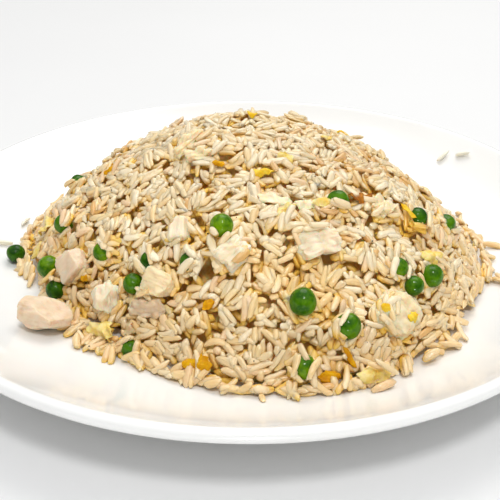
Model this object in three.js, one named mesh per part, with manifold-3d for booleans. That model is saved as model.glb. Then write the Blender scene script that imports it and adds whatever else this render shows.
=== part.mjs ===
// A plate of chicken fried rice: a round white plate, a heap of rice with relief of grain size,
// and the peas, diced chicken, scraps of egg and stray grains that lie in it and beside it.
// Millimetres, +Z up, the origin under the middle of the plate, the diner at -Y.
import * as THREE from "three";
import { mergeVertices } from "three/addons/utils/BufferGeometryUtils.js";
import Module from "manifold-3d";

const wasm = await Module();
wasm.setup();

// Clear space between one piece and the next
const GAP = 0.35;

// The plate: a flat well, an inside wall that turns up late, and a rounded lip
const PLATE_RADIUS = 135;
const PLATE_HEIGHT = 26;
const PLATE_SIDES = 44;
const WELL_RADIUS = 82;
const WELL_HEIGHT = 7;
const WALL_POWER = 2;
const WALL_STEPS = 5;
const LIP_RADIUS = 2.3;
const LIP_FROM = 127; // degrees round the lip's section, where the inside wall meets it
const LIP_TO = -62;
const LIP_STEPS = 5;
const BELLY_POWER = 1.5;
const BELLY_STEPS = 4;
const FOOT_OUTER = 86;
const FOOT_INNER = 81;
const FOOT_DEPTH = 2.8;

// The heap: an uneven outline, and a rise that rounds off at the crest and steepens at the foot
const HEAP_RADIUS = 90.8;
const HEAP_RISE = 50;
const HEAP_CROWN = 2.55;
const HEAP_LEAN = 1.1; // the summit's place along X
const OUTLINE_WAVES = [
  { size: 3.9, count: 1, turn: -38 },
  { size: 5.0, count: 2, turn: -81 },
  { size: 2.7, count: 3, turn: 148 },
  { size: 1.6, count: 4, turn: 6 },
];
const CREST = { x: -11, y: 5.5, rise: 6, spread: 20 };
const CREST_FADE = 3; // the crest dies out over the last third of the way to the foot

// The relief of the heap: each pair of neighbouring points is the ridge of one grain
const RELIEF_RINGS = 21;
const RELIEF_SECTORS = 6; // ring n of the relief's net has 6 n points
const RELIEF_DRIFT = 0.26; // how far a point leaves its even place, as a part of the spacing
const RIDGE_HEIGHT = [0.7, 2.3];
const RIDGE_TILT = 0.7; // by how much one end of a grain stands above the other at most
const RIDGE_PULL = 0.1; // how far the ends of a ridge draw together, as a part of its length
const VALLEY_DEPTH = [1.0, 1.6];
const FOOT_RAGGED = 2.2;
const TOPPING_ROOM = 1.4; // the relief keeps this clear of a topping where it can
const SINK_STEP = 0.4;
const SINK_LIMIT = 16; // the relief goes down this far at most to clear a topping
const UNDERSIDE_POINTS = 21;
const UNDERSIDE_RADIUS = 74;

// Peas in the heap: where they lie, their diameter, and how far the middle is above the rice
const PEAS = [
  { x: -71.8, y: 17.5, across: 8.2, lift: 0.6 },
  { x: -71.8, y: -14.3, across: 8.0, lift: 1.2 },
  { x: -75, y: -28.5, across: 9.3, lift: 2.4 },
  { x: -71.3, y: -38, across: 7.8, lift: 2.0 },
  { x: -53.3, y: -38.7, across: 7.4, lift: 0.8 },
  { x: -40.7, y: -55.3, across: 7.6, lift: 0.4 },
  { x: -35, y: -51.8, across: 7.2, lift: 0.2 },
  { x: -20.4, y: -58.9, across: 7.4, lift: 0.1 },
  { x: -9.2, y: -51.6, across: 8.6, lift: 2.2 },
  { x: 30.6, y: -39.8, across: 8.6, lift: 1.4 },
  { x: 60.6, y: -30, across: 7.8, lift: 1.8 },
  { x: 74.6, y: -18, across: 7.8, lift: 1.4 },
  { x: 50.7, y: -56.4, across: 7.4, lift: 1.0 },
  { x: 55.6, y: -59.9, across: 7.3, lift: 1.6 },
  { x: 62.9, y: -52.3, across: 8.4, lift: 2.0 },
  { x: 17, y: -75.9, across: 9.5, lift: 2.6 },
  { x: 31.3, y: -79.9, across: 9.1, lift: 2.2 },
  { x: 17.3, y: -90.8, across: 8.2, lift: 1.4 },
  { x: -41, y: -73.8, across: 6.6, lift: 0.2 },
  { x: -46, y: 60, across: 8.4, lift: 1.4 },
  { x: -9, y: 63, across: 8.9, lift: 1.8 },
  { x: 23, y: 65, across: 7.9, lift: 1.0 },
  { x: 55, y: 49, across: 8.8, lift: 1.9 },
  { x: 71, y: 43, across: 8.2, lift: 1.3 },
];
const PEA_ON_PLATE = { x: -95.2, y: -10, across: 7.8 };
const PEA_FLATNESS = 0.93;
const PEA_SIDES = 8;
const PEA_BANDS = 5;

// Diced chicken: length, width, height, heading and the lift of its middle above the rice
const CHICKEN = [
  { x: -63.6, y: -36.4, size: [11.5, 10.5, 9.5], turn: 18, lift: 2.0 },
  { x: -49.9, y: -54.2, size: [12.5, 9.5, 10.5], turn: 70, lift: 1.6 },
  { x: -30.9, y: -60.4, size: [12.0, 9.5, 7.0], turn: -38, lift: 1.3 },
  { x: -35.2, y: -64.7, size: [16.5, 7.8, 5.8], turn: -24, lift: 0.2 },
  { x: -24.2, y: -47.4, size: [9.5, 7.0, 7.5], turn: 80, lift: 0.9 },
  { x: -6, y: -60.4, size: [12.0, 11.0, 9.0], turn: 40, lift: 0.9 },
  { x: 23.1, y: -58.2, size: [16.0, 11.0, 8.5], turn: 20, lift: 0.8 },
  { x: 47.2, y: -34.4, size: [10.0, 8.0, 7.0], turn: 60, lift: 0.9 },
  { x: 48.4, y: -71.6, size: [17.5, 15.5, 10.0], turn: 65, lift: 1.2 },
  { x: -22.7, y: -10.2, size: [14.5, 6.5, 6.0], turn: 42, lift: 0.7 },
  { x: -17.8, y: -17.7, size: [13.5, 5.5, 5.5], turn: 4, lift: 0.5 },
  { x: -27, y: 64, size: [14.0, 11.0, 9.0], turn: 130, lift: 1.3 },
  { x: 40, y: 60, size: [13.0, 10.0, 9.5], turn: 25, lift: 1.4 },
];
const CHICKEN_ON_PLATE = { x: -73.6, y: -58.9, size: [20.6, 13.5, 12.0], turn: -12 };
const CHICKEN_CORNER = 0.5; // 1 is an ellipsoid, towards 0 it is a box
const CHICKEN_TRIM = 0.9; // a block starts this much smaller, as its lumps reach past it
const CHICKEN_RAGGED = 0.035; // how far one lump reaches, as a part of the half size
const CHICKEN_LUMPS = 4;
const LUMP_PITCH = 4; // radians from one side of a chunk's half to the other
const FINE_CHUNK = 15.5; // longer chunks get smaller facets

// Scraps of omelette: length, width, heading, how far the middle folds up, and the lift
const EGG = [
  { x: -16.6, y: -85.6, size: [10.5, 7.0], turn: -15, fold: 1.6, lift: 1.2 },
  { x: 25.4, y: -92.5, size: [9.0, 4.5], turn: 8, fold: 0.8, lift: 1.0 },
  { x: 43.3, y: -98.8, size: [12.5, 6.0], turn: 12, fold: 1.0, lift: 0.9 },
  { x: -57, y: -72.9, size: [14.5, 7.5], turn: -28, fold: 1.8, lift: 1.1 },
  { x: -80.8, y: -4.1, size: [12.0, 7.0], turn: 75, fold: 1.4, lift: 0.9 },
  { x: 4, y: -30, size: [9.5, 4.5], turn: 8, fold: 0.9, lift: 1.0 },
  { x: 11.6, y: -47.5, size: [10.5, 5.0], turn: 30, fold: 1.2, lift: 1.0 },
  { x: 12.3, y: -21.9, size: [8.5, 7.0], turn: 50, fold: 1.6, lift: 1.1 },
  { x: 64, y: -44.5, size: [12.0, 6.0], turn: 35, fold: 1.5, lift: 1.1 },
  { x: -53, y: -2.1, size: [9.0, 5.5], turn: 35, fold: 1.2, lift: 1.0 },
  { x: 7, y: 63, size: [11.0, 7.0], turn: 110, fold: 1.4, lift: 1.1 },
  { x: -63, y: 49, size: [12.0, 7.5], turn: 60, fold: 1.5, lift: 1.1 },
];
const EGG_THICKNESS = 1.5;
const EGG_COLUMNS = 5;
const EGG_ROWS = 2;
const SCRAP_ROUNDING = 1 / 3; // how much of its outline a scrap loses at the corners
const SCRAP_RIPPLE = 0.35; // the height of its ripples, as a part of the fold
const RIPPLE_PITCH = 3; // radians from the middle of a scrap to its end

// A browned scrap and a bit of cooked onion, in the same terms
const BROWNED = { x: 38.7, y: -34.9, size: [9.5, 6.0], turn: 25, fold: 1.6, lift: 1.2 };
const ONION = { x: -40.3, y: -67.6, size: [6.2, 4.3], turn: 5, fold: 0.7, lift: 2.1 };

// Grains that fell on the plate beside the heap: where, and their heading
const STRAY_GRAINS = [
  { x: -102, y: 0.6, turn: 12 },
  { x: -97.9, y: 20.8, turn: 75 },
  { x: 93.8, y: 74.4, turn: 30 },
  { x: 102.2, y: 70.5, turn: -20 },
];
const GRAIN_LENGTH = 8.4;
const GRAIN_ACROSS = 2.6;
const GRAIN_SIDES = 6;
const GRAIN_BANDS = 4;

const SEED = 506;

const finishes = {
  porcelain: new THREE.MeshStandardMaterial({ color: 0xfbfaf6, roughness: 0.12, metalness: 0 }),
  rice: new THREE.MeshStandardMaterial({ color: 0xe6cfa6, roughness: 0.5, metalness: 0 }),
  pea: new THREE.MeshStandardMaterial({ color: 0x3d8a1c, roughness: 0.3, metalness: 0 }),
  chicken: new THREE.MeshStandardMaterial({ color: 0xe9d3b4, roughness: 0.55, metalness: 0 }),
  egg: new THREE.MeshStandardMaterial({ color: 0xf0c95c, roughness: 0.45, metalness: 0 }),
  browned: new THREE.MeshStandardMaterial({ color: 0xa8641f, roughness: 0.4, metalness: 0 }),
  onion: new THREE.MeshStandardMaterial({ color: 0xd8cfae, roughness: 0.3, metalness: 0 }),
};

const radians = THREE.MathUtils.degToRad;

// A repeatable stream of numbers from 0 to 1.
function seededRandom(seed) {
  let state = seed;
  return () => {
    state = (state + 0x6d2b79f5) | 0;
    let t = Math.imul(state ^ (state >>> 15), 1 | state);
    t = (t + Math.imul(t ^ (t >>> 7), 61 | t)) ^ t;
    return ((t ^ (t >>> 14)) >>> 0) / 4294967296;
  };
}

function pick(range, random) {
  return range[0] + (range[1] - range[0]) * random();
}

// An indexed geometry from points and the triples that join them.
function meshFrom(points, faces) {
  const geometry = new THREE.BufferGeometry().setFromPoints(points);
  geometry.setIndex(faces.flat());
  return geometry;
}

function solidFrom(geometry) {
  const loose = geometry.index ? geometry.toNonIndexed() : geometry;
  const bare = new THREE.BufferGeometry();
  bare.setAttribute("position", loose.getAttribute("position").clone());
  const merged = mergeVertices(bare, 1e-3);
  return new wasm.Manifold(
    new wasm.Mesh({
      numProp: 3,
      vertProperties: merged.attributes.position.array,
      triVerts: new Uint32Array(merged.index.array),
    }),
  );
}

function geometryFrom(solid) {
  const mesh = solid.getMesh();
  const geometry = new THREE.BufferGeometry();
  geometry.setAttribute("position", new THREE.BufferAttribute(mesh.vertProperties, mesh.numProp));
  geometry.setIndex(new THREE.BufferAttribute(mesh.triVerts, 1));
  return geometry;
}

// The plate

const lipCentre = new THREE.Vector2(PLATE_RADIUS - LIP_RADIUS, PLATE_HEIGHT - LIP_RADIUS);

function lipPoint(degrees) {
  const turn = radians(degrees);
  return new THREE.Vector2(
    lipCentre.x + LIP_RADIUS * Math.cos(turn),
    lipCentre.y + LIP_RADIUS * Math.sin(turn),
  );
}

// Height of the plate's upper face at a distance from the middle.
function plateTop(distance) {
  const wallEnd = lipPoint(LIP_FROM);
  const along = Math.max(0, distance - WELL_RADIUS) / (wallEnd.x - WELL_RADIUS);
  return WELL_HEIGHT + (wallEnd.y - WELL_HEIGHT) * along ** WALL_POWER;
}

function makePlate() {
  const wallEnd = lipPoint(LIP_FROM);
  const lipEnd = lipPoint(LIP_TO);
  const profile = [new THREE.Vector2(0, WELL_HEIGHT)];
  for (let i = 0; i < WALL_STEPS; i++) {
    const distance = THREE.MathUtils.lerp(WELL_RADIUS, wallEnd.x, i / WALL_STEPS);
    profile.push(new THREE.Vector2(distance, plateTop(distance)));
  }
  for (let i = 0; i <= LIP_STEPS; i++) {
    profile.push(lipPoint(THREE.MathUtils.lerp(LIP_FROM, LIP_TO, i / LIP_STEPS)));
  }
  for (let i = BELLY_STEPS - 1; i >= 0; i--) {
    const along = i / BELLY_STEPS;
    profile.push(
      new THREE.Vector2(
        THREE.MathUtils.lerp(FOOT_OUTER, lipEnd.x, along),
        FOOT_DEPTH + (lipEnd.y - FOOT_DEPTH) * along ** BELLY_POWER,
      ),
    );
  }
  profile.push(
    new THREE.Vector2(FOOT_OUTER - 1, 0),
    new THREE.Vector2(FOOT_INNER, 0),
    new THREE.Vector2(FOOT_INNER - 1, FOOT_DEPTH),
    new THREE.Vector2(0, FOOT_DEPTH),
  );
  // The profile is turned about Y and then stood up, so it runs from the foot to the well.
  const lathe = new THREE.LatheGeometry(profile.reverse(), PLATE_SIDES);
  lathe.rotateX(Math.PI / 2);
  const mesh = new THREE.Mesh(lathe, finishes.porcelain);
  mesh.name = "plate";
  return mesh;
}

// The heap's smooth form

function outlineRadius(turn) {
  let radius = HEAP_RADIUS;
  for (const wave of OUTLINE_WAVES) {
    radius += wave.size * Math.cos(wave.count * turn - radians(wave.turn));
  }
  return radius;
}

// A point of the heap's smooth face: turn is its angle, out runs from 0 on top to 1 at the foot.
function heapPoint(turn, out) {
  const reach = outlineRadius(turn) * out;
  const x = reach * Math.cos(turn) + HEAP_LEAN * (1 - out);
  const y = reach * Math.sin(turn);
  const crest = Math.exp(-((x - CREST.x) ** 2 + (y - CREST.y) ** 2) / (2 * CREST.spread ** 2));
  const rise =
    HEAP_RISE * (1 - out ** HEAP_CROWN) +
    CREST.rise * crest * Math.min(1, CREST_FADE * (1 - out));
  return new THREE.Vector3(x, y, plateTop(Math.hypot(x, y)) + GAP + rise);
}

// The direction away from the rice, square to the smooth face.
function heapNormal(turn, out) {
  const step = 0.01;
  const near = THREE.MathUtils.clamp(out, 2 * step, 1 - 2 * step);
  const round = heapPoint(turn + step, near).sub(heapPoint(turn - step, near));
  const down = heapPoint(turn, near + step).sub(heapPoint(turn, near - step));
  return down.cross(round).normalize();
}

// The turn and reach of the heap's point that lies over x, y in plan. The lean is small, so a few
// rounds of correcting it are exact.
function heapOver(x, y) {
  const rounds = 6;
  let out = 0.5;
  let turn = 0;
  for (let i = 0; i < rounds; i++) {
    const fromSummit = x - HEAP_LEAN * (1 - out);
    turn = Math.atan2(y, fromSummit);
    out = Math.min(1, Math.hypot(fromSummit, y) / outlineRadius(turn));
  }
  return { turn, out };
}

// Reaches that divide the face into rings of equal width, measured down the slope.
function evenReaches(count) {
  const samples = 400;
  const slack = 1e-9;
  const lengths = [0];
  for (let i = 1; i <= samples; i++) {
    const step = heapPoint(Math.PI, i / samples).distanceTo(heapPoint(Math.PI, (i - 1) / samples));
    lengths.push(lengths[i - 1] + step);
  }
  const reaches = [];
  for (let ring = 0; ring <= count; ring++) {
    const wanted = (lengths[samples] * ring) / count;
    reaches.push(lengths.findIndex((length) => length >= wanted - slack) / samples);
  }
  return reaches;
}

// A net of triangles in rings round one middle point.
function ringNet(rings) {
  const start = (ring) => (ring === 0 ? 0 : (RELIEF_SECTORS / 2) * ring * (ring - 1) + 1);
  const at = (ring, place) => start(ring) + (ring === 0 ? 0 : place % (RELIEF_SECTORS * ring));
  const faces = [];
  for (let ring = 1; ring <= rings; ring++) {
    for (let sector = 0; sector < RELIEF_SECTORS; sector++) {
      const outer = sector * ring;
      const inner = sector * (ring - 1);
      for (let k = 0; k < ring; k++) {
        faces.push([at(ring, outer + k), at(ring, outer + k + 1), at(ring - 1, inner + k)]);
        if (k < ring - 1) {
          faces.push([
            at(ring - 1, inner + k),
            at(ring, outer + k + 1),
            at(ring - 1, inner + k + 1),
          ]);
        }
      }
    }
  }
  return { faces, count: start(rings + 1), footStart: start(rings) };
}

// The edges of a net, each with the face on its left and, inside the net, the one on its right.
function netEdges(faces) {
  const edges = new Map();
  faces.forEach((face, index) => {
    for (let i = 0; i < 3; i++) {
      const a = face[i];
      const b = face[(i + 1) % 3];
      const twin = edges.get(b + "_" + a);
      if (twin) twin.right = index;
      else edges.set(a + "_" + b, { a, b, left: index, right: -1 });
    }
  });
  return [...edges.values()];
}

// Takes the points two by two at random, each with a free neighbour: one pair is one grain.
function pairUp(count, edges, random) {
  const neighbours = Array.from({ length: count }, () => []);
  for (const { a, b } of edges) {
    neighbours[a].push(b);
    neighbours[b].push(a);
  }
  const partner = new Array(count).fill(-1);
  const order = Array.from({ length: count }, (_, i) => ({ i, key: random() }));
  order.sort((p, q) => p.key - q.key);
  for (const { i } of order) {
    const free = neighbours[i].filter((n) => partner[n] < 0);
    if (partner[i] >= 0 || free.length === 0) continue;
    const other = free[Math.floor(random() * free.length)];
    partner[i] = other;
    partner[other] = i;
  }
  return partner;
}

// Toppings

// A rounded, slightly lumpy block; grow makes it larger on every side.
function chunkShape(size, seed, grow) {
  const random = seededRandom(seed);
  const lumps = Array.from({ length: CHICKEN_LUMPS }, () => ({
    way: new THREE.Vector3(random() - 0.5, random() - 0.5, random() - 0.5).setLength(LUMP_PITCH),
    phase: 2 * Math.PI * random(),
  }));
  const detail = Math.max(...size) > FINE_CHUNK ? 2 : 1;
  const geometry = new THREE.IcosahedronGeometry(1, detail);
  const place = geometry.getAttribute("position");
  const point = new THREE.Vector3();
  for (let i = 0; i < place.count; i++) {
    point.fromBufferAttribute(place, i).normalize();
    const lump = lumps.reduce((sum, l) => sum + Math.sin(point.dot(l.way) + l.phase), 0);
    const rounded = ["x", "y", "z"].map(
      (axis) => Math.sign(point[axis]) * Math.abs(point[axis]) ** CHICKEN_CORNER,
    );
    const reach = CHICKEN_TRIM * (1 + CHICKEN_RAGGED * lump);
    const corner = rounded.map((part, axis) => part * ((size[axis] / 2) * reach + grow));
    place.setXYZ(i, ...corner);
  }
  return geometry;
}

function peaShape(across, grow) {
  const pea = new THREE.SphereGeometry(1, PEA_SIDES, PEA_BANDS);
  const radius = across / 2 + grow;
  pea.scale(radius, radius, radius * PEA_FLATNESS);
  return pea;
}

// A thin wavy scrap with a rounded outline, folded up along its middle.
function scrapShape(size, fold, seed, grow) {
  const random = seededRandom(seed);
  const phase = 2 * Math.PI * random();
  const half = EGG_THICKNESS / 2 + grow;
  const points = [];
  for (const side of [1, -1]) {
    for (let row = 0; row <= EGG_ROWS; row++) {
      for (let column = 0; column <= EGG_COLUMNS; column++) {
        const u = (2 * column) / EGG_COLUMNS - 1;
        const v = (2 * row) / EGG_ROWS - 1;
        const x = u * Math.sqrt(1 - SCRAP_ROUNDING * v * v);
        const y = v * Math.sqrt(1 - SCRAP_ROUNDING * u * u);
        const ripple = SCRAP_RIPPLE * Math.sin(RIPPLE_PITCH * x + phase);
        const bend = fold * (0.5 - y * y + ripple);
        points.push(
          new THREE.Vector3(x * (size[0] / 2 + grow), y * (size[1] / 2 + grow), bend + side * half),
        );
      }
    }
  }
  const across = EGG_COLUMNS + 1;
  const layer = across * (EGG_ROWS + 1);
  const faces = [];
  for (let row = 0; row < EGG_ROWS; row++) {
    for (let column = 0; column < EGG_COLUMNS; column++) {
      const a = row * across + column;
      const b = a + 1;
      const c = b + across;
      const d = a + across;
      faces.push([a, b, c], [a, c, d]);
      faces.push([a + layer, c + layer, b + layer], [a + layer, d + layer, c + layer]);
    }
  }
  const rim = [];
  for (let column = 0; column < EGG_COLUMNS; column++) rim.push(column);
  for (let row = 0; row < EGG_ROWS; row++) rim.push(EGG_COLUMNS + row * across);
  for (let column = EGG_COLUMNS; column > 0; column--) rim.push(EGG_ROWS * across + column);
  for (let row = EGG_ROWS; row > 0; row--) rim.push(row * across);
  rim.forEach((a, i) => {
    const b = rim[(i + 1) % rim.length];
    faces.push([a, a + layer, b + layer], [a, b + layer, b]);
  });
  return meshFrom(points, faces);
}

// A mesh that lies on the heap over x, y: square to the slope, its middle lifted off the rice.
function layOnHeap(name, geometry, material, { x, y, turn = 0, lift }) {
  const spot = heapOver(x, y);
  const normal = heapNormal(spot.turn, spot.out);
  const mesh = new THREE.Mesh(geometry, material);
  mesh.name = name;
  mesh.quaternion.setFromUnitVectors(new THREE.Vector3(0, 0, 1), normal);
  mesh.rotateZ(radians(turn));
  mesh.position.copy(heapPoint(spot.turn, spot.out)).addScaledVector(normal, lift);
  return mesh;
}

// A mesh that stands on the plate beside the heap, its underside a gap above the slope of the wall.
function layOnPlate(name, geometry, material, { x, y, turn = 0 }) {
  const distance = Math.hypot(x, y);
  const slope = plateTop(distance + 1) - plateTop(distance);
  const normal = new THREE.Vector3((-slope * x) / distance, (-slope * y) / distance, 1);
  normal.normalize();
  const mesh = new THREE.Mesh(geometry, material);
  mesh.name = name;
  geometry.computeBoundingBox();
  mesh.quaternion.setFromUnitVectors(new THREE.Vector3(0, 0, 1), normal);
  mesh.rotateZ(radians(turn));
  mesh.position.set(x, y, plateTop(distance));
  mesh.position.addScaledVector(normal, GAP - geometry.boundingBox.min.z);
  return mesh;
}

// Raises a mesh until no point of it is closer to the plate than the gap.
function raiseOffPlate(mesh) {
  mesh.updateMatrixWorld(true);
  const place = mesh.geometry.getAttribute("position");
  const point = new THREE.Vector3();
  let raise = 0;
  for (let i = 0; i < place.count; i++) {
    point.fromBufferAttribute(place, i).applyMatrix4(mesh.matrixWorld);
    raise = Math.max(raise, plateTop(Math.hypot(point.x, point.y)) + GAP - point.z);
  }
  mesh.position.z += raise;
}

// Every topping: its mesh, and the slightly larger shape that clears its place in the rice.
function makeToppings() {
  const toppings = [];
  const add = (lay, name, shape, material, place) => {
    const mesh = lay(name, shape(0), material, place);
    raiseOffPlate(mesh);
    const pocket = new THREE.Mesh(shape(GAP));
    pocket.position.copy(mesh.position);
    pocket.quaternion.copy(mesh.quaternion);
    toppings.push({ mesh, pocket });
  };
  PEAS.forEach((pea, i) => {
    const shape = (grow) => peaShape(pea.across, grow);
    add(layOnHeap, "pea_" + (i + 1), shape, finishes.pea, pea);
  });
  add(
    layOnPlate,
    "pea_on_plate",
    (grow) => peaShape(PEA_ON_PLATE.across, grow),
    finishes.pea,
    PEA_ON_PLATE,
  );
  CHICKEN.forEach((chunk, i) => {
    const shape = (grow) => chunkShape(chunk.size, SEED + i, grow);
    add(layOnHeap, "chicken_" + (i + 1), shape, finishes.chicken, chunk);
  });
  add(
    layOnPlate,
    "chicken_on_plate",
    (grow) => chunkShape(CHICKEN_ON_PLATE.size, SEED - 1, grow),
    finishes.chicken,
    CHICKEN_ON_PLATE,
  );
  EGG.forEach((scrap, i) => {
    const shape = (grow) => scrapShape(scrap.size, scrap.fold, SEED + 2 * i, grow);
    add(layOnHeap, "egg_" + (i + 1), shape, finishes.egg, scrap);
  });
  const browned = (grow) => scrapShape(BROWNED.size, BROWNED.fold, SEED, grow);
  add(layOnHeap, "browned_scrap", browned, finishes.browned, BROWNED);
  const onion = (grow) => scrapShape(ONION.size, ONION.fold, SEED + 1, grow);
  add(layOnHeap, "onion_bit", onion, finishes.onion, ONION);
  return toppings;
}

function makeStrayGrains() {
  return STRAY_GRAINS.map((grain, i) => {
    const shape = new THREE.SphereGeometry(1, GRAIN_SIDES, GRAIN_BANDS);
    shape.rotateZ(Math.PI / 2);
    shape.scale(GRAIN_LENGTH / 2, GRAIN_ACROSS / 2, GRAIN_ACROSS / 2);
    return layOnPlate("stray_grain_" + (i + 1), shape, finishes.rice, grain);
  });
}

// The heap

// Tests whether a point lies inside a topping's box with rounded corners, or close round it.
function makeNearTopping(toppings) {
  const zones = toppings.map(({ pocket }) => {
    pocket.updateMatrixWorld(true);
    pocket.geometry.computeBoundingBox();
    const half = pocket.geometry.boundingBox.getSize(new THREE.Vector3()).multiplyScalar(0.5);
    return { inverse: pocket.matrixWorld.clone().invert(), half: half.addScalar(TOPPING_ROOM) };
  });
  return (point) =>
    zones.some(({ inverse, half }) => {
      const { x, y, z } = point.clone().applyMatrix4(inverse).divide(half);
      return x ** 4 + y ** 4 + z ** 4 < 1;
    });
}

// Moves a point of the relief straight into the rice until it is clear of every topping.
function sinkBelowToppings(point, normal, nearTopping) {
  for (let sunk = 0; sunk < SINK_LIMIT && nearTopping(point); sunk += SINK_STEP) {
    point.addScaledVector(normal, -SINK_STEP);
  }
  point.z = Math.max(point.z, plateTop(Math.hypot(point.x, point.y)) + GAP);
}

// Where the points of the net lie on the smooth face, each a little off its even place.
function reliefSpots(random) {
  const reaches = evenReaches(RELIEF_RINGS);
  const spots = [];
  for (let ring = 0; ring <= RELIEF_RINGS; ring++) {
    const count = Math.max(1, RELIEF_SECTORS * ring);
    const drift = ring === RELIEF_RINGS || ring === 0 ? 0 : RELIEF_DRIFT;
    for (let place = 0; place < count; place++) {
      const along = ring + drift * (2 * random() - 1);
      const low = Math.floor(along);
      const high = Math.min(RELIEF_RINGS, low + 1);
      spots.push({
        out: THREE.MathUtils.lerp(reaches[low], reaches[high], along - low),
        turn: (2 * Math.PI * (place + drift * (2 * random() - 1))) / count,
      });
    }
  }
  return spots;
}

// The point of one grain's ridge that is nearest to another point. A grain with no partner is a dot.
function nearestOnRidge(grain, partner, ends, point) {
  if (partner[grain] < 0) return ends[grain];
  const ridge = new THREE.Line3(ends[grain], ends[partner[grain]]);
  return ridge.closestPointToPoint(point, true, new THREE.Vector3());
}

// The point half-way between the ridges of the grains that meet in a face.
function betweenRidges(face, partner, ends) {
  const middle = new THREE.Vector3();
  for (const corner of face) middle.addScaledVector(ends[corner], 1 / 3);
  const grains = new Set(face.map((corner) => Math.max(corner, partner[corner])));
  const between = new THREE.Vector3();
  for (const grain of grains) {
    between.addScaledVector(nearestOnRidge(grain, partner, ends, middle), 1 / grains.size);
  }
  return between;
}

// The relief: a ridge for every grain, valleys between them, and a ragged foot on the plate.
function makeHeapSurface(nearTopping) {
  const random = seededRandom(SEED);
  const net = ringNet(RELIEF_RINGS);
  const edges = netEdges(net.faces);
  const partner = pairUp(net.count, edges, random);
  const spots = reliefSpots(random);
  const bases = spots.map(({ turn, out }) => heapPoint(turn, out));
  const ends = bases.map((base, i) =>
    i >= net.footStart || partner[i] < 0
      ? base
      : base.clone().lerp(bases[partner[i]], RIDGE_PULL),
  );
  const heights = [];
  partner.forEach((other, i) => {
    const grain = other >= 0 && other < i ? heights[other] : pick(RIDGE_HEIGHT, random);
    heights.push(grain + RIDGE_TILT * (random() - 0.5));
  });

  const points = ends.map((end, i) => {
    const point = end.clone();
    if (i >= net.footStart) {
      const pull = 1 - (FOOT_RAGGED * random()) / HEAP_RADIUS;
      point.set(point.x * pull, point.y * pull, 0);
      point.z = plateTop(Math.hypot(point.x, point.y)) + GAP;
      return point;
    }
    const normal = heapNormal(spots[i].turn, spots[i].out);
    point.addScaledVector(normal, heights[i]);
    sinkBelowToppings(point, normal, nearTopping);
    return point;
  });

  const valleys = net.faces.map((face) => {
    const between = betweenRidges(face, partner, ends);
    const spot = heapOver(between.x, between.y);
    const normal = heapNormal(spot.turn, spot.out);
    const valley = heapPoint(spot.turn, spot.out);
    valley.addScaledVector(normal, -pick(VALLEY_DEPTH, random));
    sinkBelowToppings(valley, normal, nearTopping);
    return points.push(valley) - 1;
  });

  const faces = [];
  for (const { a, b, left, right } of edges) {
    if (right < 0) {
      faces.push([a, b, valleys[left]]);
    } else if (partner[a] === b) {
      faces.push([a, b, valleys[left]], [b, a, valleys[right]]);
    } else {
      faces.push([a, valleys[right], valleys[left]], [valleys[right], b, valleys[left]]);
    }
  }
  return { points, faces, footStart: net.footStart };
}

// Closes the relief underneath: a flat middle over the well and a skirt out to the foot.
function closeUnderside({ points, faces, footStart }) {
  const footCount = RELIEF_SECTORS * RELIEF_RINGS;
  const ringStart = points.length;
  for (let i = 0; i < UNDERSIDE_POINTS; i++) {
    const turn = (2 * Math.PI * i) / UNDERSIDE_POINTS;
    points.push(
      new THREE.Vector3(
        UNDERSIDE_RADIUS * Math.cos(turn),
        UNDERSIDE_RADIUS * Math.sin(turn),
        WELL_HEIGHT + GAP,
      ),
    );
  }
  points.push(new THREE.Vector3(0, 0, WELL_HEIGHT + GAP));
  const middle = points.length - 1;
  const perSide = footCount / UNDERSIDE_POINTS;
  for (let i = 0; i < UNDERSIDE_POINTS; i++) {
    const here = ringStart + i;
    const next = ringStart + ((i + 1) % UNDERSIDE_POINTS);
    faces.push([middle, next, here]);
    for (let k = 0; k < perSide; k++) {
      const a = footStart + i * perSide + k;
      const b = footStart + ((i * perSide + k + 1) % footCount);
      faces.push([here, b, a]);
    }
    faces.push([here, next, footStart + (((i + 1) * perSide) % footCount)]);
  }
}

function makeHeap(toppings) {
  const surface = makeHeapSurface(makeNearTopping(toppings));
  closeUnderside(surface);
  let heap = solidFrom(meshFrom(surface.points, surface.faces));
  for (const { pocket } of toppings) {
    heap = heap.subtract(solidFrom(pocket.geometry.clone().applyMatrix4(pocket.matrixWorld)));
  }
  const largest = heap.decompose().sort((a, b) => b.volume() - a.volume())[0];
  const mesh = new THREE.Mesh(geometryFrom(largest), finishes.rice);
  mesh.name = "rice_heap";
  return mesh;
}

const plateOfFriedRice = new THREE.Group();
const toppings = makeToppings();
plateOfFriedRice.add(
  makePlate(),
  makeHeap(toppings),
  ...toppings.map(({ mesh }) => mesh),
  ...makeStrayGrains(),
);

export default plateOfFriedRice;
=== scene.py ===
"""The looks of a plate of chicken fried rice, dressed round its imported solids.

Sizes and places are in millimetres, and become metres where a mesh is made. +Z is up, and the diner
sits at -Y. The heap is built of real grains: each one settles on what was laid before it.
"""

import logging
import math
from dataclasses import dataclass, field
from enum import Enum
from typing import Optional, Sequence, Union

import bmesh
import bpy
import numpy as np
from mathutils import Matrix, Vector
from mathutils.bvhtree import BVHTree


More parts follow.
